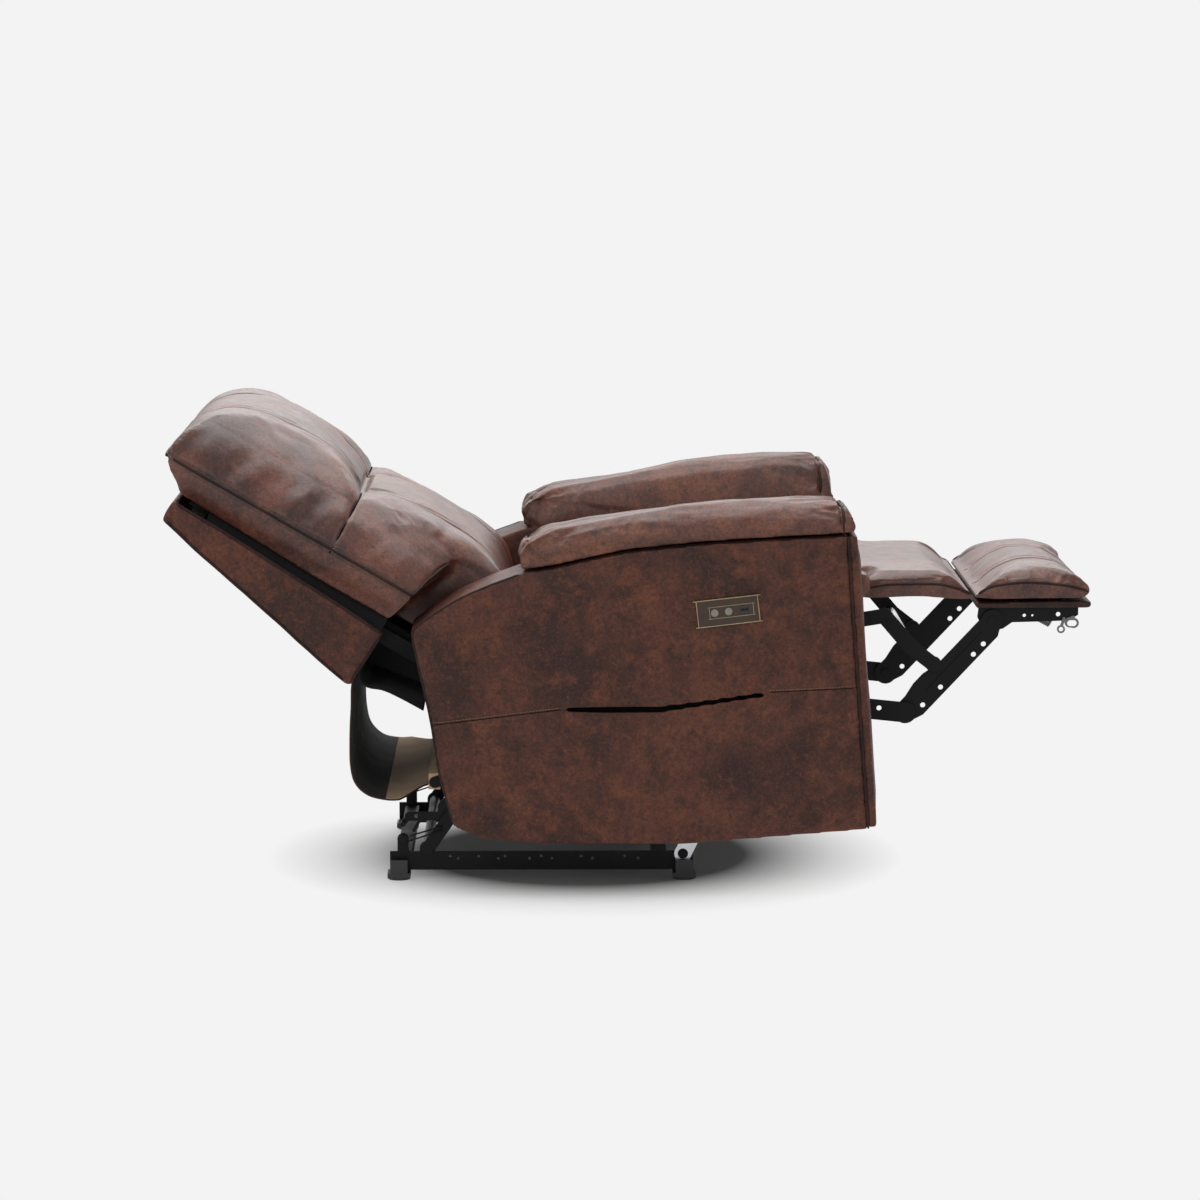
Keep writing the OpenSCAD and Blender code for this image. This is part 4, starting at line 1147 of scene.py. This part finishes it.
def ribbon(name, path, half, thick, materials, seed, wave=0.004, step=0.008, split=-9.0,
           waist=((0, 1), (1, 1))):
    """A cloth strip that runs along an [x, z] path, its two faces apart by its thickness."""
    line = resample([[a, 0, b] for a, b in path], step)
    n = len(line)
    ys = np.linspace(-half, half, int(2 * half / step) + 1)
    t = np.gradient(line, axis=0)
    t /= np.linalg.norm(t, axis=1)[:, None]
    nor = np.stack([-t[:, 2], np.zeros(n), t[:, 0]], 1)
    run = np.concatenate([[0], np.cumsum(np.linalg.norm(np.diff(line, axis=0), axis=1))])
    grid = []
    free = np.sin(np.clip(run / run[-1], 0, 1) * math.pi)
    for y in ys:
        q = np.stack([run * 9, np.full(n, y * 8), np.full(n, 0.0)], 1)
        lift = wave * free * (value_noise(q, seed) + 0.4 * value_noise(q * 2.9, seed + 1))
        row = line + nor * lift[:, None]
        row[:, 1] = y * np.interp(run / run[-1], *zip(*waist))
        grid.append(row)
    grid = np.array(grid)
    ny = len(ys)
    front = grid + nor[None] * thick / 2
    rear = grid - nor[None] * thick / 2
    verts = np.concatenate([front.reshape(-1, 3), rear.reshape(-1, 3)])
    faces, mats = [], []
    edge_look = min(1, len(materials) - 1)
    off = ny * n
    for i in range(ny - 1):
        for j in range(n - 1):
            a, b, c, e = i * n + j, i * n + j + 1, (i + 1) * n + j + 1, (i + 1) * n + j
            faces += [(a, b, c, e), (off + e, off + c, off + b, off + a)]
            mats += [0 if line[j, 0] > split or len(materials) < 3 else 2, edge_look]
    for i in range(ny - 1):
        for j, flip in ((0, False), (n - 1, True)):
            f = (i * n + j, (i + 1) * n + j, off + (i + 1) * n + j, off + i * n + j)
            faces.append(f[::-1] if flip else f)
            mats.append(edge_look)
    for j in range(n - 1):
        for i, flip in ((0, True), (ny - 1, False)):
            f = (i * n + j, i * n + j + 1, off + i * n + j + 1, off + i * n + j)
            faces.append(f[::-1] if flip else f)
            mats.append(edge_look)
    ob = link(name, closed_mesh(name, verts, faces), materials)
    for p, k in zip(ob.data.polygons, mats):
        p.material_index = k
    return ob, float(run[-1])


SKIRT = [(-0.4685, 0.386), (-0.475, 0.352), (-0.478, 0.300), (-0.480, 0.255),
         (-0.478, 0.215), (-0.470, 0.185), (-0.448, 0.163), (-0.420, 0.156),
         (-0.390, 0.157), (-0.3466, 0.168)]
skirt, skirt_run = ribbon("skirt_cloth", SKIRT, 0.332, 0.0032, [TAN, HIDE_DARK, CLOTH], 91, 0.005,
                          split=-0.425, waist=((0, 1), (0.86, 1), (0.97, 0.745), (1, 0.745)))
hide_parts("back_skirt")
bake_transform(skirt)

GAP = [(-0.1086, 0.384), (-0.140, 0.377), (-0.175, 0.381), (-0.205, 0.390)]
gap, gap_run = ribbon("gap_cloth", GAP, 0.230, 0.0024, [CLOTH], 95, 0.002)
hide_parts("seat_gap_cloth")
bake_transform(gap)

DROP = [(-0.462, 0.388), (-0.461, 0.366), (-0.447, 0.353), (-0.421, 0.348),
        (-0.388, 0.333), (-0.3515, 0.312)]
drop, drop_run = ribbon("back_drop_cloth", DROP, 0.332, 0.0020, [CLOTH], 99, 0.003)
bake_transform(drop)

ends = from_back([[0.2470, 0, -0.070], [0.2450, 0, -0.030], [0.2435, 0, 0.016]])
dust, dust_run = ribbon("shell_end_cloth", [(v[0], v[2]) for v in ends], 0.357, 0.0020, [CLOTH],
                        97, 0.001)
piece(dust, "back")

# black cloth closes the two long gaps between the back cushions and the outside back
SIDE_STEPS = 60
for sign, tag in SIDES:
    us = np.linspace(0.246, 0.600, SIDE_STEPS)
    rings = [from_back([[u, sign * 0.334 + off, edge] for u in us])
             for edge in (-0.012, 0.060) for off in (-0.001, 0.001)]
    verts = np.concatenate(rings)
    faces = []
    for a, b in ((0, 1), (1, 3), (3, 2), (2, 0)):
        a, b = a * SIDE_STEPS, b * SIDE_STEPS
        faces += [(a + i, a + i + 1, b + i + 1, b + i) for i in range(SIDE_STEPS - 1)]
    faces += [tuple(k * SIDE_STEPS + end for k in (0, 1, 3, 2)) for end in (0, SIDE_STEPS - 1)]
    me = closed_mesh("back_side_cloth_" + tag, verts, faces)
    side = piece(link("back_side_cloth_" + tag, me, [CLOTH]), "back")

# ---------------------------------------------------------------- return springs

wires = bmesh.new()
for y in (-0.2523, 0.2523):
    for a, b in (((-0.378, 0.078), (-0.322, 0.095)), ((-0.382, 0.068), (-0.322, 0.088))):
        wire = tube("wire", [[a[0], y, a[1]], [b[0], y, b[1]]], 0.0014, SPRING, taper=False)
        wires.from_mesh(wire.data)
        bpy.data.objects.remove(wire)
me = bpy.data.meshes.new("return_spring_wires")
wires.to_mesh(me)
wires.free()
wires = link("return_spring_wires", me, [BLACK_STEEL])
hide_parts("rear_return_springs")
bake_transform(wires)

# ---------------------------------------------------------------- CAD nodes that stay

FINISH = {"black_steel": BLACK_STEEL, "zinc_steel": ZINC, "timber": TIMBER,
          "black_plastic": PLASTIC,
          "bronze_trim": BRONZE, "button_metal": BUTTON, "black_cloth": CLOTH,
          "brown_leather": HIDE, "dark_leather": HIDE_DARK}
by_node = {m["node"]: m["material_slot"] for m in frame["record"]["subparts"]}
for name, ob in frame["nodes"].items():
    ob.data.materials.clear()
    slot = by_node.get(name)
    look = FINISH[slot]
    if name in ("bracket_springs", "bracket_eyes", "seat_springs"):
        look = SPRING
    elif name in ("back_upright_right", "back_upright_left", "back_cross_rails", "seat_rear_rail"):
        look = CLOTH  # this part of the frame is wrapped in black dust cloth
    ob.data.materials.append(look)

# ---------------------------------------------------------------- floor

FLOOR_SIDES = 96
rise = [(30 + 8 * math.sin(a), 12 - 12 * math.cos(a)) for a in np.linspace(0.1, math.pi / 2, 12)]
verts, faces = [(0, 0, 0)], []
for r, z in [(1.5, 0), (6, 0), (30, 0)] + rise:
    verts += [(r * math.cos(a), r * math.sin(a), z)
              for a in np.linspace(0, 2 * math.pi, FLOOR_SIDES, endpoint=False)]
for k in range(FLOOR_SIDES):
    j = (k + 1) % FLOOR_SIDES
    faces.append((0, 1 + k, 1 + j))
    for ring in range(2 + len(rise)):
        low, up = 1 + ring * FLOOR_SIDES, 1 + (ring + 1) * FLOOR_SIDES
        faces.append((low + k, up + k, up + j, low + j))
me = bpy.data.meshes.new("studio_floor")
me.from_pydata(verts, [], faces)
k = Mat("studio_paper")
k.set("Roughness", 0.95)
k.set("Specular IOR Level", 0.0)
# the paper glows a little so that it fades into one even tone away from the chair
glow = k.node("Emission")
glow.inputs["Color"].default_value = (1, 1, 1, 1)
glow.inputs["Strength"].default_value = 0.896
far = k.node("Mapping", [("Vector", k.coord)])
far.inputs["Scale"].default_value = (1.75, 1.72, 1.75)
far.inputs["Location"].default_value = (0.125, 0.02, 0)
ball = k.node("TexGradient", [("Vector", far.outputs["Vector"])])
ball.gradient_type = "SPHERICAL"
near = k.ramp(ball.outputs["Fac"], [(0.0, 0.0), (0.50, 0.98)])
# painted shadow: the paper's colour darkens from 0.80 to 0.17 towards the chair, a contact shadow
# painted into the floor
tone = k.ramp(ball.outputs["Fac"], [(0.21, 0.80), (0.50, 0.17)])
mottle = k.ramp(k.noise(0.6, 2), [(0.3, 0.0), (0.7, 0.04)])
k.set("Base Color", k.mix(mottle, tone, (0.86, 0.86, 0.86)))
blend = k.node("MixShader", [("Fac", near)])
k.t.links.new(glow.outputs[0], blend.inputs[1])
k.t.links.new(k.bsdf.outputs[0], blend.inputs[2])
k.t.links.new(blend.outputs[0], k.t.nodes["Material Output"].inputs["Surface"])
floor = link("studio_floor", me, [k.m])
floor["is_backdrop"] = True

low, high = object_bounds()
